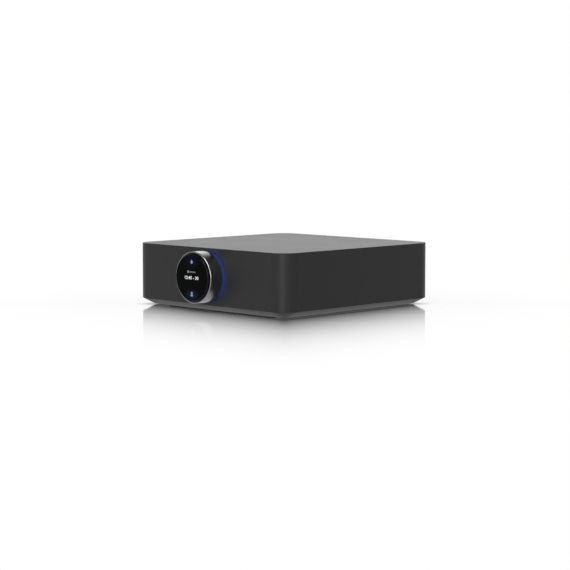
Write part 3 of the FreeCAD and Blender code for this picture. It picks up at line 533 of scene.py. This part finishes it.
def grown(name, tree, values, finish, body, source=None, moves=None):
    """A plain mesh made by a tree from its values, as a piece on a body."""
    carrier = bpy.data.objects.new(name + "_source", source or bpy.data.meshes.new(name + "_source"))
    bpy.context.scene.collection.objects.link(carrier)
    modifier = carrier.modifiers.new("tree", "NODES")
    modifier.node_group = tree.group
    given = {**values, "Material": FINISHES[finish]}
    for item in tree.group.interface.items_tree:
        if item.in_out == "INPUT" and item.name in given:
            modifier[item.identifier] = given[item.name]
    state = bpy.context.evaluated_depsgraph_get()
    mesh = bpy.data.meshes.new_from_object(carrier.evaluated_get(state))
    bpy.data.objects.remove(carrier)
    mesh.name = name
    if moves is not None:
        mesh.transform(moves)
    return new_piece(name, mesh, finish, body)


def points_mesh(name, places):
    mesh = bpy.data.meshes.new(name)
    mesh.from_pydata([tuple(place) for place in places], [], [])
    return mesh


def axis_to(direction):
    """The turn that brings the upward axis to a direction."""
    return Vector((0, 0, 1)).rotation_difference(Vector(direction)).to_matrix().to_4x4()


def fluted_tree():
    """A bored grip with flutes round it, extruded from its end view."""
    tree = Tree("fluted_grip", {
        "Radius": ("Float", 0.007), "Depth": ("Float", 0.0004), "Bore": ("Float", 0.003),
        "Length": ("Float", 0.01), "Flutes": ("Int", 24), "Material": ("Material", None),
    })
    given = tree.given
    steps = tree.maths("MULTIPLY", given["Flutes"], 8.0)
    outer = tree.add("GeometryNodeCurvePrimitiveCircle", {"Resolution": steps, "Radius": given["Radius"]})
    inner = tree.add("GeometryNodeCurvePrimitiveCircle", {"Resolution": 64, "Radius": given["Bore"]})
    place = tree.add("ShaderNodeSeparateXYZ", {0: tree.add("GeometryNodeInputPosition").outputs[0]}).outputs
    angle = tree.maths("ARCTAN2", place["Y"], place["X"])
    wave = tree.maths("COSINE", tree.maths("MULTIPLY", angle, given["Flutes"]))
    half = tree.maths("ADD", tree.maths("MULTIPLY", wave, 0.5), 0.5)
    share = tree.maths("POWER", half, 2.0)
    cut = tree.maths("DIVIDE", tree.maths("MULTIPLY", share, given["Depth"]), given["Radius"])
    scale = tree.maths("SUBTRACT", 1.0, cut)
    moved = tree.add("ShaderNodeVectorMath", {0: tree.add("GeometryNodeInputPosition").outputs[0],
                                              "Scale": scale}, operation="SCALE")
    fluted = tree.add("GeometryNodeSetPosition", {"Geometry": outer.outputs[0], "Position": moved.outputs[0]})
    both = tree.add("GeometryNodeJoinGeometry", {0: [fluted.outputs[0], inner.outputs[0]]})
    face = tree.add("GeometryNodeFillCurve", {"Curve": both.outputs[0]})
    raised = tree.add("GeometryNodeExtrudeMesh", {"Mesh": face.outputs[0], "Offset Scale": given["Length"],
                                                  "Individual": False})
    back = tree.add("GeometryNodeFlipFaces", {"Mesh": face.outputs[0]})
    whole = tree.add("GeometryNodeJoinGeometry", {0: [raised.outputs[0], back.outputs[0]]})
    closed = tree.add("GeometryNodeMergeByDistance", {"Geometry": whole.outputs[0], "Distance": 0.000001})
    return tree.finish(closed.outputs[0])


def screw_tree():
    """Low round screw heads with a six sided recess, one on each point."""
    tree = Tree("screw_heads", {
        "Head Radius": ("Float", 0.002), "Head Height": ("Float", 0.0006), "Key Radius": ("Float", 0.0009),
        "Key Depth": ("Float", 0.0005), "Facing": ("Vector", (0, 0, 1)), "Material": ("Material", None),
    })
    given = tree.given
    head = tree.add("GeometryNodeMeshCone", {
        "Vertices": 40, "Side Segments": 1, "Radius Bottom": given["Head Radius"],
        "Radius Top": tree.maths("MULTIPLY", given["Head Radius"], 0.86), "Depth": given["Head Height"],
    })
    key = tree.add("GeometryNodeMeshCylinder", {"Vertices": 6, "Radius": given["Key Radius"],
                                                "Depth": tree.maths("MULTIPLY", given["Key Depth"], 2.0)})
    top = tree.add("ShaderNodeCombineXYZ", {"Z": given["Head Height"]})
    sunk = tree.add("GeometryNodeTransform", {"Geometry": key.outputs[0], "Translation": top.outputs[0]})
    cut = tree.add("GeometryNodeMeshBoolean", {"Mesh 1": head.outputs[0], "Mesh 2": [sunk.outputs[0]]},
                   operation="DIFFERENCE")
    turn = tree.add("FunctionNodeAlignRotationToVector", {"Vector": given["Facing"]}, axis="Z")
    rows = tree.add("GeometryNodeInstanceOnPoints", {"Points": given["Geometry"], "Instance": cut.outputs[0],
                                                     "Rotation": turn.outputs[0]})
    return tree.finish(rows.outputs[0])


def band_tree():
    """A round band with softened corners, about the upward axis."""
    tree = Tree("round_band", {
        "Radius": ("Float", 0.005), "Wall": ("Float", 0.001), "Height": ("Float", 0.001),
        "Corner": ("Float", 0.0002), "Steps": ("Int", 96), "Material": ("Material", None),
    })
    given = tree.given
    path = tree.add("GeometryNodeCurvePrimitiveCircle", {"Resolution": given["Steps"],
                                                         "Radius": given["Radius"]})
    profile = tree.add("GeometryNodeCurvePrimitiveQuadrilateral", {"Width": given["Wall"],
                                                                   "Height": given["Height"]})
    rounded = tree.add("GeometryNodeFilletCurve", {"Curve": profile.outputs[0], "Radius": given["Corner"],
                                                   "Count": 3}, mode="POLY")
    swept = tree.add("GeometryNodeCurveToMesh", {"Curve": path.outputs[0],
                                                 "Profile Curve": rounded.outputs[0]})
    rounds = tree.add("GeometryNodeInstanceOnPoints", {"Points": given["Geometry"],
                                                       "Instance": swept.outputs[0]})
    return tree.finish(rounds.outputs[0])


def screen_tree():
    """A woven screen of fine wires over a rectangle."""
    tree = Tree("wire_screen", {
        "Width": ("Float", 0.05), "Length": ("Float", 0.05), "Columns": ("Int", 20), "Rows": ("Int", 20),
        "Wire": ("Float", 0.00015), "Material": ("Material", None),
    })
    given = tree.given
    grid = tree.add("GeometryNodeMeshGrid", {"Size X": given["Width"], "Size Y": given["Length"],
                                             "Vertices X": given["Columns"], "Vertices Y": given["Rows"]})
    lines = tree.add("GeometryNodeMeshToCurve", {"Mesh": grid.outputs[0]})
    section = tree.add("GeometryNodeCurvePrimitiveCircle", {"Resolution": 4, "Radius": given["Wire"]})
    wires = tree.add("GeometryNodeCurveToMesh", {"Curve": lines.outputs[0],
                                                 "Profile Curve": section.outputs[0]})
    return tree.finish(wires.outputs[0])


def word_tree():
    """A row of short bars that stands for small print on the display."""
    tree = Tree("small_print", {
        "Bars": ("Int", 6), "Pitch": ("Float", 0.0012), "Tall": ("Float", 0.0012), "Wide": ("Float", 0.0008),
        "Seed": ("Int", 5), "Material": ("Material", None),
    })
    given = tree.given
    offset = tree.add("ShaderNodeCombineXYZ", {"X": given["Pitch"]})
    row = tree.add("GeometryNodeMeshLine", {"Count": given["Bars"], "Offset": offset.outputs[0]})
    size = tree.add("ShaderNodeCombineXYZ", {"X": given["Wide"], "Y": given["Tall"], "Z": 0.00002})
    bar = tree.add("GeometryNodeMeshCube", {"Size": size.outputs[0]})
    tall = tree.add("FunctionNodeRandomValue", {2: 0.7, 3: 1.0, "Seed": given["Seed"]}, data_type="FLOAT")
    scale = tree.add("ShaderNodeCombineXYZ", {"X": 1.0, "Y": tall.outputs[1], "Z": 1.0})
    bars = tree.add("GeometryNodeInstanceOnPoints", {"Points": row.outputs[0], "Instance": bar.outputs[0],
                                                     "Scale": scale.outputs[0]})
    return tree.finish(bars.outputs[0])


def ring_profile(points, steps, centre):
    """A closed body turned about the dial's axis from points of radius and y."""
    mesh = bpy.data.meshes.new("turned")
    work = bmesh.new()
    rows = []
    for radius, y in points:
        if radius < 1e-9:
            rows.append([work.verts.new((0, y, 0))])
            continue
        angles = [2 * math.pi * step / steps for step in range(steps)]
        rows.append([work.verts.new((radius * math.cos(a), y, radius * math.sin(a))) for a in angles])
    for first, second in zip(rows, rows[1:]):
        for step in range(steps):
            after = (step + 1) % steps
            corners = [first[step % len(first)], first[after % len(first)],
                       second[after % len(second)], second[step % len(second)]]
            unique = list(dict.fromkeys(corners))
            if len(unique) > 2:
                work.faces.new(unique)
    bmesh.ops.translate(work, verts=work.verts, vec=centre)
    bmesh.ops.remove_doubles(work, verts=work.verts, dist=0.0005 * MM)
    bmesh.ops.recalc_face_normals(work, faces=work.faces)
    work.to_mesh(mesh)
    work.free()
    return mesh


def arc_points(centre, radius, start, end, count):
    """Points of radius and y on an arc, from one angle to another in degrees."""
    points = []
    for step in range(count + 1):
        angle = math.radians(start + (end - start) * step / count)
        points.append((centre[0] + radius * math.cos(angle), centre[1] + radius * math.sin(angle)))
    return points


def cover_glass():
    """The round cover glass, flat in front, with an edge that curves back to the ring."""
    edge = GLASS_EDGE * MM
    front = GLASS_LOW.y + PICTURE_STAND * MM
    outline = [(0, front), (GLASS_RADIUS * 0.5, front)]
    outline += arc_points((GLASS_RADIUS - edge, front + edge), edge, -90, 0, 10)
    outline += [(GLASS_RADIUS, GLASS_HIGH.y), (0, GLASS_HIGH.y)]
    mesh = ring_profile(outline, TURNED_STEPS, DIAL_CENTRE)
    smooth(mesh, 50.0)
    piece = new_piece("cover_glass", mesh, "glass", BODY_OF["display_glass"])
    mesh.materials.append(FINISHES["glass_edge"])
    for face in mesh.polygons:
        face.material_index = int(math.hypot(face.center.x, face.center.z - DIAL_Z) > GLASS_RADIUS - edge)
    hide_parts("display_glass")


def lit_ring():
    """The round light guide, with the two tabs that hold it behind the front wall."""
    outer = (GUIDE_HIGH.z - GUIDE_LOW.z) / 2
    inner = outer - GUIDE_WALL * MM
    soft = GUIDE_EDGE * MM
    front, back = GUIDE_LOW.y, GUIDE_HIGH.y
    outline = [(inner, front), (outer - soft, front), (outer, front + soft), (outer, back), (inner, back),
               (inner, front)]
    mesh = ring_profile(outline, TURNED_STEPS, DIAL_CENTRE)
    work = bmesh.new()
    work.from_mesh(mesh)
    thick = TAB_THICKNESS * MM
    tall = TAB_HEIGHT * MM
    root = outer - TAB_ROOT * MM
    for side in (-1, 1):
        centre = Vector((side * (root + GUIDE_HIGH.x) / 2, back - thick / 2, DIAL_Z))
        size = Matrix.Diagonal(Vector((GUIDE_HIGH.x - root, thick, tall, 1.0)))
        bmesh.ops.create_cube(work, size=1.0, matrix=Matrix.Translation(centre) @ size)
    work.to_mesh(mesh)
    work.free()
    smooth(mesh)
    piece = new_piece("lit_ring", mesh, "guide", BODY_OF["light_guide"])
    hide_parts("light_guide")


def on_glass(mesh, across, up):
    """Brings a flat picture from the ground plane to the front of the glass."""
    front = GLASS_LOW.y + 0.3 * PICTURE_STAND * MM
    place = Matrix.Translation(Vector((across * MM, front, DIAL_Z + up * MM)))
    mesh.transform(place @ Matrix.Rotation(math.pi / 2, 4, "X"))


def clock_picture():
    """The plain numbers in the middle of the display."""
    text = bpy.data.curves.new("clock", "FONT")
    text.body = CLOCK_TEXT
    text.size = CLOCK_SIZE * MM
    text.offset = CLOCK_WEIGHT * MM
    carrier = bpy.data.objects.new("clock_source", text)
    bpy.context.scene.collection.objects.link(carrier)
    state = bpy.context.evaluated_depsgraph_get()
    mesh = bpy.data.meshes.new_from_object(carrier.evaluated_get(state))
    bpy.data.objects.remove(carrier)
    left = min(vert.co.x for vert in mesh.vertices)
    right = max(vert.co.x for vert in mesh.vertices)
    mesh.transform(Matrix.Translation(Vector((-left, 0, 0))))
    mesh.transform(Matrix.Diagonal(Vector((CLOCK_WIDTH * MM / (right - left), 1.0, 1.0, 1.0))))
    on_glass(mesh, CLOCK_LEFT, CLOCK_BASE)
    new_piece("clock_numbers", mesh, "white_light", "case")


def flat_shape(name, outlines, across, up, finish):
    """A flat sign on the display, from outlines of points in millimetres."""
    mesh = bpy.data.meshes.new(name)
    work = bmesh.new()
    for outline in outlines:
        work.faces.new([work.verts.new((x * MM, y * MM, 0)) for x, y in outline])
    bmesh.ops.triangulate(work, faces=work.faces)
    work.to_mesh(mesh)
    work.free()
    on_glass(mesh, across, up)
    new_piece(name, mesh, finish, "case")


def rounded_outline(width, height, radius, middle=(0, 0)):
    """A rectangle with round corners, as points."""
    points = []
    for turn, (side, rise) in enumerate(((1, 1), (-1, 1), (-1, -1), (1, -1))):
        centre = (middle[0] + side * (width / 2 - radius), middle[1] + rise * (height / 2 - radius))
        points += arc_points(centre, radius, 90 * turn, 90 * turn + 90, 5)
    return points


def display_signs():
    """Plain signs above and below the numbers, and a row of small print."""
    drop = [(0, 2.2)] + arc_points((0, -0.4), 1.55, 30, -210, 14)
    flat_shape("top_sign", [drop], 0, TOP_SIGN, "top_light")
    stack = [rounded_outline(2.3, 1.9, 0.5, (0, 1.2)), rounded_outline(3.2, 2.1, 0.6, (0, -1.2))]
    flat_shape("low_sign", stack, 0, LOW_SIGN, "low_light")
    flat_shape("line_sign", [rounded_outline(2.4, 2.4, 0.4)], -5.2, LINE_BASE + 1.1, "grey_light")
    values = {"Bars": 7, "Pitch": 1.25 * MM, "Tall": 1.5 * MM, "Wide": 0.85 * MM, "Seed": 5}
    words = grown("small_print", word_tree(), values, "grey_light", "case")
    on_glass(words.data, -2.6, LINE_BASE + 1.0)


def dial():
    """The turning ring, the still glass with its picture, and the light behind them."""
    dressed("dial_ring", "ring", 0.12, "dial_ring_shown", 3)
    cover_glass()
    clock_picture()
    display_signs()
    lit_ring()


def rounded_loop(inset, z):
    """Points round the case at an inset from its walls, with the corner arcs kept concentric."""
    straight = CASE_HIGH.x - CORNER_RADIUS * MM
    radius = (CORNER_RADIUS - inset) * MM
    points = []
    for turn, (side, rise) in enumerate(((1, 1), (-1, 1), (-1, -1), (1, -1))):
        for x, y in arc_points((side * straight, rise * straight), radius, 90 * turn, 90 * turn + 90, 24):
            points.append((x, y, z))
    return points


def slotted_tree():
    """Two columns of slots cut into a plate from below."""
    tree = Tree("slotted_plate", {
        "Columns Apart": ("Float", 0.07), "Slot Length": ("Float", 0.046), "Slot Width": ("Float", 0.003),
        "Pitch": ("Float", 0.0075), "Slots": ("Int", 7), "Level": ("Float", 0.0), "Depth": ("Float", 0.0024),
        "Material": ("Material", None),
    })
    given = tree.given
    run = tree.maths("MULTIPLY", tree.maths("SUBTRACT", given["Slots"], 1.0), given["Pitch"])
    grid = tree.add("GeometryNodeMeshGrid", {"Size X": given["Columns Apart"], "Size Y": run, "Vertices X": 2,
                                             "Vertices Y": given["Slots"]})
    height = tree.maths("MULTIPLY", given["Depth"], 2.0)
    outline = tree.add("GeometryNodeCurvePrimitiveQuadrilateral", {"Width": given["Slot Length"],
                                                                   "Height": given["Slot Width"]})
    rounded = tree.add("GeometryNodeFilletCurve", {
        "Curve": outline.outputs[0], "Radius": tree.maths("MULTIPLY", given["Slot Width"], 0.49), "Count": 6,
    }, mode="POLY")
    face = tree.add("GeometryNodeFillCurve", {"Curve": rounded.outputs[0]})
    raised = tree.add("GeometryNodeExtrudeMesh", {"Mesh": face.outputs[0], "Offset Scale": height,
                                                  "Individual": False})
    under = tree.add("GeometryNodeFlipFaces", {"Mesh": face.outputs[0]})
    whole = tree.add("GeometryNodeJoinGeometry", {0: [raised.outputs[0], under.outputs[0]]})
    cutter = tree.add("GeometryNodeMergeByDistance", {"Geometry": whole.outputs[0], "Distance": 0.000001})
    drop = tree.add("ShaderNodeCombineXYZ", {"Z": tree.maths("SUBTRACT", given["Level"], given["Depth"])})
    placed = tree.add("GeometryNodeTransform", {"Geometry": grid.outputs[0], "Translation": drop.outputs[0]})
    rows = tree.add("GeometryNodeInstanceOnPoints", {"Points": placed.outputs[0],
                                                     "Instance": cutter.outputs[0]})
    real = tree.add("GeometryNodeRealizeInstances", {0: rows.outputs[0]})
    cut = tree.add("GeometryNodeMeshBoolean", {"Mesh 1": given["Geometry"], "Mesh 2": [real.outputs[0]]},
                   operation="DIFFERENCE")
    return tree.finish(cut.outputs[0])


def skirt_mesh():
    """The closed skirt, whose soft edges above and below are short slanted steps."""
    under = BASE_LOW.z / MM
    rise = BASE_TOP - under
    slope = math.hypot(rise, BEVEL_INSET)
    inward = BEVEL_INSET / slope * SKIRT_EDGE
    down = rise / slope * SKIRT_EDGE
    profile = [
        (SKIRT_EDGE, BASE_TOP),
        (0.3 * SKIRT_EDGE, BASE_TOP - 0.12 * SKIRT_EDGE),
        (0.8 * inward, BASE_TOP - 1.4 * down),
        (BEVEL_INSET - inward, under + down),
        (BEVEL_INSET - 0.2 * SKIRT_EDGE, under + 0.12 * SKIRT_EDGE),
        (BEVEL_INSET + SKIRT_EDGE, under),
    ]
    mesh = bpy.data.meshes.new("skirt")
    work = bmesh.new()
    rows = [[work.verts.new(point) for point in rounded_loop(inset, z * MM)] for inset, z in profile]
    for first, second in zip(rows, rows[1:]):
        for step in range(len(first)):
            after = (step + 1) % len(first)
            work.faces.new((first[step], first[after], second[after], second[step]))
    work.faces.new(rows[0])
    work.faces.new(rows[-1])
    bmesh.ops.recalc_face_normals(work, faces=work.faces)
    work.to_mesh(mesh)
    work.free()
    return mesh


def base_skin():
    """The sloping skirt and the slotted underside, with a wire screen behind the slots."""
    values = {"Columns Apart": SLOT_COLUMNS * MM, "Slot Length": SLOT_LENGTH * MM,
              "Slot Width": SLOT_WIDTH * MM, "Pitch": SLOT_PITCH * MM, "Slots": SLOT_COUNT,
              "Level": BASE_LOW.z, "Depth": SLOT_DEPTH * MM}
    skin = grown("base_skin", slotted_tree(), values, "base", "case", source=skirt_mesh())
    smooth(skin.data, 32.0)
    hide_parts("base_pan")
    size = {"Width": (SLOT_COLUMNS + SLOT_LENGTH) * MM, "Length": SLOT_COUNT * SLOT_PITCH * MM,
            "Columns": SCREEN_COLUMNS, "Rows": SCREEN_ROWS, "Wire": SCREEN_WIRE * MM}
    level = BASE_LOW.z + (SLOT_DEPTH - SCREEN_GAP) * MM
    grown("slot_screen", screen_tree(), size, "screw", "case",
          moves=Matrix.Translation(Vector((0, 0, level))))


def case():
    """The metal shell, the pan under it and the rubber feet."""
    dressed("case_shell", "case", 0.22, "case_skin", 3)
    base_skin()
    dressed("feet", "foot", 0.2, "rubber_feet", 3)


def back():
    """The sunk tray and all that stands in it, each with the width of its soft edges."""
    for node, finish, edge in (
        ("rear_panel", "tray", 0.25), ("power_inlet", "tray", 0.3), ("inlet_pins", "pins", 0.35),
        ("ethernet_jack", "tin", 0.15), ("hdmi_port", "tin", 0.1), ("hdmi_tongue", "chip", 0.1),
        ("optical_jack", "socket", 0.2), ("optical_shutter", "shutter", 0.15),
        ("rca_block", "socket", 0.2), ("rca_shells", "gold", 0.15), ("post_block", "socket", 0.3),
        ("post_studs", "gold", 0.2), ("reset_button", "shutter", 0.2),
    ):
        dressed(node, finish, edge)
    painted("gold", "ethernet_contacts")
    painted("carrier", "reset_switch")


def speaker_caps():
    """Clamp caps with fine flutes, and the washers under them."""
    tree = fluted_tree()
    for post, finish in (("left_minus", "black_cap"), ("right_minus", "black_cap"),
                         ("left_plus", "red_cap"), ("right_plus", "red_cap")):
        low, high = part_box(post + "_cap")
        middle = (low + high) / 2
        values = {"Radius": (high.x - low.x) / 2, "Depth": CAP_FLUTE_DEPTH * MM, "Bore": CAP_BORE * MM,
                  "Length": high.y - low.y, "Flutes": CAP_FLUTES}
        place = Matrix.Translation(Vector((middle.x, low.y, middle.z))) @ axis_to((0, 1, 0))
        cap = grown(post + "_grip_shown", tree, values, finish, BODY_OF[post + "_cap"],
                    moves=place)
        smooth(cap.data, 35.0)
        softened(cap, 0.3 * MM, 3, 50.0)
        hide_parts(post + "_cap")
        dressed(post + "_washer", "gold", 0.15)


def in_metres(sizes):
    """Named sizes in millimetres, turned into metres."""
    return {name: value * MM for name, value in sizes.items()}


def small_fasteners():
    """Screw heads under the base and on the tray."""
    tree = screw_tree()
    places = [(x * MM, y * MM, BASE_LOW.z) for x in (-BASE_SCREW_X, BASE_SCREW_X)
              for y in (-BASE_SCREW_Y, BASE_SCREW_Y)]
    grown("base_screws", tree, {**in_metres(BASE_SCREW), "Facing": (0, 0, -1)}, "screw", "case",
          source=points_mesh("base_screw_places", places))
    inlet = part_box("power_inlet")
    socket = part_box("ethernet_jack")
    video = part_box("hdmi_port")
    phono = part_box("rca_block")
    panel_y = socket[1].y - SOCKET_STAND * MM
    upper = inlet[1].z + TRAY_SCREW_OVER_INLET * MM
    lower = socket[0].z + TRAY_SCREW_OVER_SOCKET * MM
    left = (inlet[1].x + socket[0].x) / 2
    middle = (socket[1].x + video[0].x) / 2
    right = phono[0].x - TRAY_SCREW_BESIDE_PHONO * MM
    places = [(left, panel_y, upper), (right, panel_y, upper), (right, panel_y, lower),
              (middle, panel_y, lower)]
    grown("tray_screws", tree, {**in_metres(TRAY_SCREW), "Facing": (0, 1, 0)}, "screw", "case",
          source=points_mesh("tray_screw_places", places))


def phono_rings():
    """Coloured insulating rings at the foot of the phono barrels."""
    tree = band_tree()
    low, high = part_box("rca_shells")
    radius = (high.x - low.x) / 2
    for name, z, finish in (("low_phono_ring", low.z + radius, "red_cap"),
                            ("high_phono_ring", high.z - radius, "mark")):
        centre = Vector(((low.x + high.x) / 2, low.y + PHONO_RING["Height"] / 2 * MM, z))
        values = {**in_metres(PHONO_RING), "Radius": radius + PHONO_RING_MARGIN * MM, "Steps": 96}
        ring = grown(name, tree, values, finish, "case",
                     source=points_mesh(name + "_place", [(0, 0, 0)]),
                     moves=Matrix.Translation(centre) @ axis_to((0, 1, 0)))
        smooth(ring.data, 40.0)


def inside():
    """Finishes for what stands inside the case."""
    painted("chip", "main_chips", "amplifier_chips", "display_panel", "encoder_magnet")
    painted("carrier", "display_carrier", "dial_mount")
    painted("bearing", "dial_bush")
    painted("steel", "stem_nut", "shield_can")
    painted("led", "ring_leds")
    painted("film", "display_cable")
    painted("vinyl", "supply_ribbon")
    painted("cooler", "main_cooler", "amplifier_cooler", "power_heatsinks")
    painted("ferrite", "output_inductors", "mains_choke")
    painted("copper", "power_transformer")
    painted("dipped", "film_capacitors")
    painted("sleeve", "bulk_capacitor")
    painted("board", "encoder_board", "led_board", "post_board", "main_board", "amplifier_board",
            "power_board", "antennas")


def pale_floor():
    """A pale floor that keeps the object's reflection and shadow, has a painted shadow near and under the
    base, and is white further out.
    """
    mesh = bpy.data.meshes.new("floor")
    corners = [(x * FLOOR_REACH, y * FLOOR_REACH, 0) for x, y in ((-1, -1), (1, -1), (1, 1), (-1, 1))]
    mesh.from_pydata(corners, [], [(0, 1, 2, 3)])
    floor = bpy.data.objects.new("floor", mesh)
    bpy.context.scene.collection.objects.link(floor)
    skin = Finish("pale_floor", (0.98, 0.98, 0.98), 0.07)
    skin.set("IOR", 1.45)
    slant = skin.add("ShaderNodeLayerWeight", {"Blend": 0.5}).outputs["Facing"]
    skin.links.new(slant, skin.shader.inputs["Metallic"])
    seen = skin.add("ShaderNodeLightPath").outputs
    place = skin.add("ShaderNodeSeparateXYZ", {"Vector": skin.place}).outputs
    half = CASE_HIGH.x - SHADE_INSET
    from_middle = [skin.combined(place[axis], 0.0, "ABSOLUTE") for axis in ("X", "Y")]
    beside = [skin.combined(distance, half, "SUBTRACT") for distance in from_middle]
    away = skin.combined(*beside, "MAXIMUM")
    # Painted shadow: a dark matte shader mixed in at full share under the base, fading out just beyond its
    # outline
    shade = skin.add("ShaderNodeBsdfDiffuse", {"Color": (0.01, 0.01, 0.01, 1)})
    under = skin.add("ShaderNodeMixShader", {0: skin.ranged(away, SHADE_SHARE, 0.0, 0.0, SHADE_WIDTH)})
    skin.links.new(skin.shader.outputs[0], under.inputs[1])
    skin.links.new(shade.outputs[0], under.inputs[2])
    faded = skin.combined(skin.ranged(away, 0.0, 1.0, FADE_START, FADE_END), 1.1, "POWER")
    near = skin.combined(1.0, faded, "SUBTRACT")
    far = skin.combined(1.0, skin.combined(near, 3.5, "POWER"), "SUBTRACT")
    rays = skin.combined(skin.combined(seen["Is Camera Ray"], far),
                         skin.combined(seen["Is Glossy Ray"], MIRRORED_WHITE), "MAXIMUM")
    rays = skin.combined(rays, seen["Is Transmission Ray"], "MAXIMUM")
    white = skin.add("ShaderNodeEmission", {"Color": (1, 1, 1, 1), "Strength": 1.0})
    blend = skin.add("ShaderNodeMixShader", {0: rays})
    skin.links.new(under.outputs[0], blend.inputs[1])
    skin.links.new(white.outputs[0], blend.inputs[2])
    skin.links.new(blend.outputs[0], skin.nodes["Material Output"].inputs[0])
    mesh.materials.append(skin.material)


def white_surround():
    """White all round for the camera, low for soft light, and fading upwards for reflections."""
    world = bpy.data.worlds.new("surround")
    bpy.context.scene.world = world
    world.use_nodes = True
    nodes = world.node_tree.nodes
    links = world.node_tree.links
    path = nodes.new("ShaderNodeLightPath").outputs
    both = nodes.new("ShaderNodeMath")
    both.operation = "MAXIMUM"
    links.new(path["Is Camera Ray"], both.inputs[0])
    links.new(path["Is Transmission Ray"], both.inputs[1])
    height = nodes.new("ShaderNodeSeparateXYZ")
    links.new(nodes.new("ShaderNodeTexCoord").outputs["Generated"], height.inputs[0])
    dome = nodes.new("ShaderNodeMapRange")
    for socket, value in DOME.items():
        dome.inputs[socket].default_value = value
    links.new(height.outputs["Z"], dome.inputs["Value"])
    mirrored = nodes.new("ShaderNodeMix")
    mirrored.inputs["A"].default_value = SOFT_LIGHT
    links.new(path["Is Glossy Ray"], mirrored.inputs["Factor"])
    links.new(dome.outputs[0], mirrored.inputs["B"])
    strength = nodes.new("ShaderNodeMix")
    strength.inputs["B"].default_value = 1.0
    links.new(both.outputs[0], strength.inputs["Factor"])
    links.new(mirrored.outputs[0], strength.inputs["A"])
    links.new(strength.outputs[0], nodes["Background"].inputs["Strength"])
    nodes["Background"].inputs["Color"].default_value = (1, 1, 1, 1)


def direction_to(azimuth, elevation):
    """The direction from the object's middle towards an azimuth and an elevation in degrees."""
    azimuth, elevation = math.radians(azimuth), math.radians(elevation)
    level = math.cos(elevation)
    return Vector((math.sin(azimuth) * level, -math.cos(azimuth) * level, math.sin(elevation)))


def soft_lamps():
    """Broad lamps, all aimed at the middle of the object."""
    for name, azimuth, elevation, distance, wide, tall, power in LAMPS:
        place = direction_to(azimuth, elevation) * distance
        data = bpy.data.lights.new(name, "AREA")
        data.shape = "RECTANGLE"
        data.size = wide
        data.size_y = tall
        data.energy = power
        lamp = bpy.data.objects.new(name, data)
        lamp.location = place
        lamp.rotation_euler = (place - Vector(CAMERA_TARGET)).to_track_quat("Z", "Y").to_euler()
        bpy.context.scene.collection.objects.link(lamp)


def aim_camera():
    """The camera at the photograph's viewing angle and framing."""
    back_way = direction_to(CAMERA_AZIMUTH, CAMERA_ELEVATION)
    data = bpy.data.cameras.new("camera")
    data.sensor_width = SENSOR_WIDTH
    data.lens = FOCAL_PIXELS / IMAGE_SIZE * SENSOR_WIDTH
    data.shift_x = (IMAGE_SIZE / 2 - CENTRE_PIXEL[0]) / IMAGE_SIZE
    data.shift_y = (CENTRE_PIXEL[1] - IMAGE_SIZE / 2) / IMAGE_SIZE
    data.clip_end = 200.0
    camera = bpy.data.objects.new("camera", data)
    camera.location = Vector(CAMERA_TARGET) + back_way * CAMERA_DISTANCE
    camera.rotation_euler = back_way.to_track_quat("Z", "Y").to_euler()
    bpy.context.scene.collection.objects.link(camera)
    bpy.context.scene.camera = camera
    bpy.context.scene.view_settings.view_transform = "Standard"


aim_camera()
pale_floor()
white_surround()
soft_lamps()
case()
dial()
back()
speaker_caps()
phono_rings()
small_fasteners()
inside()
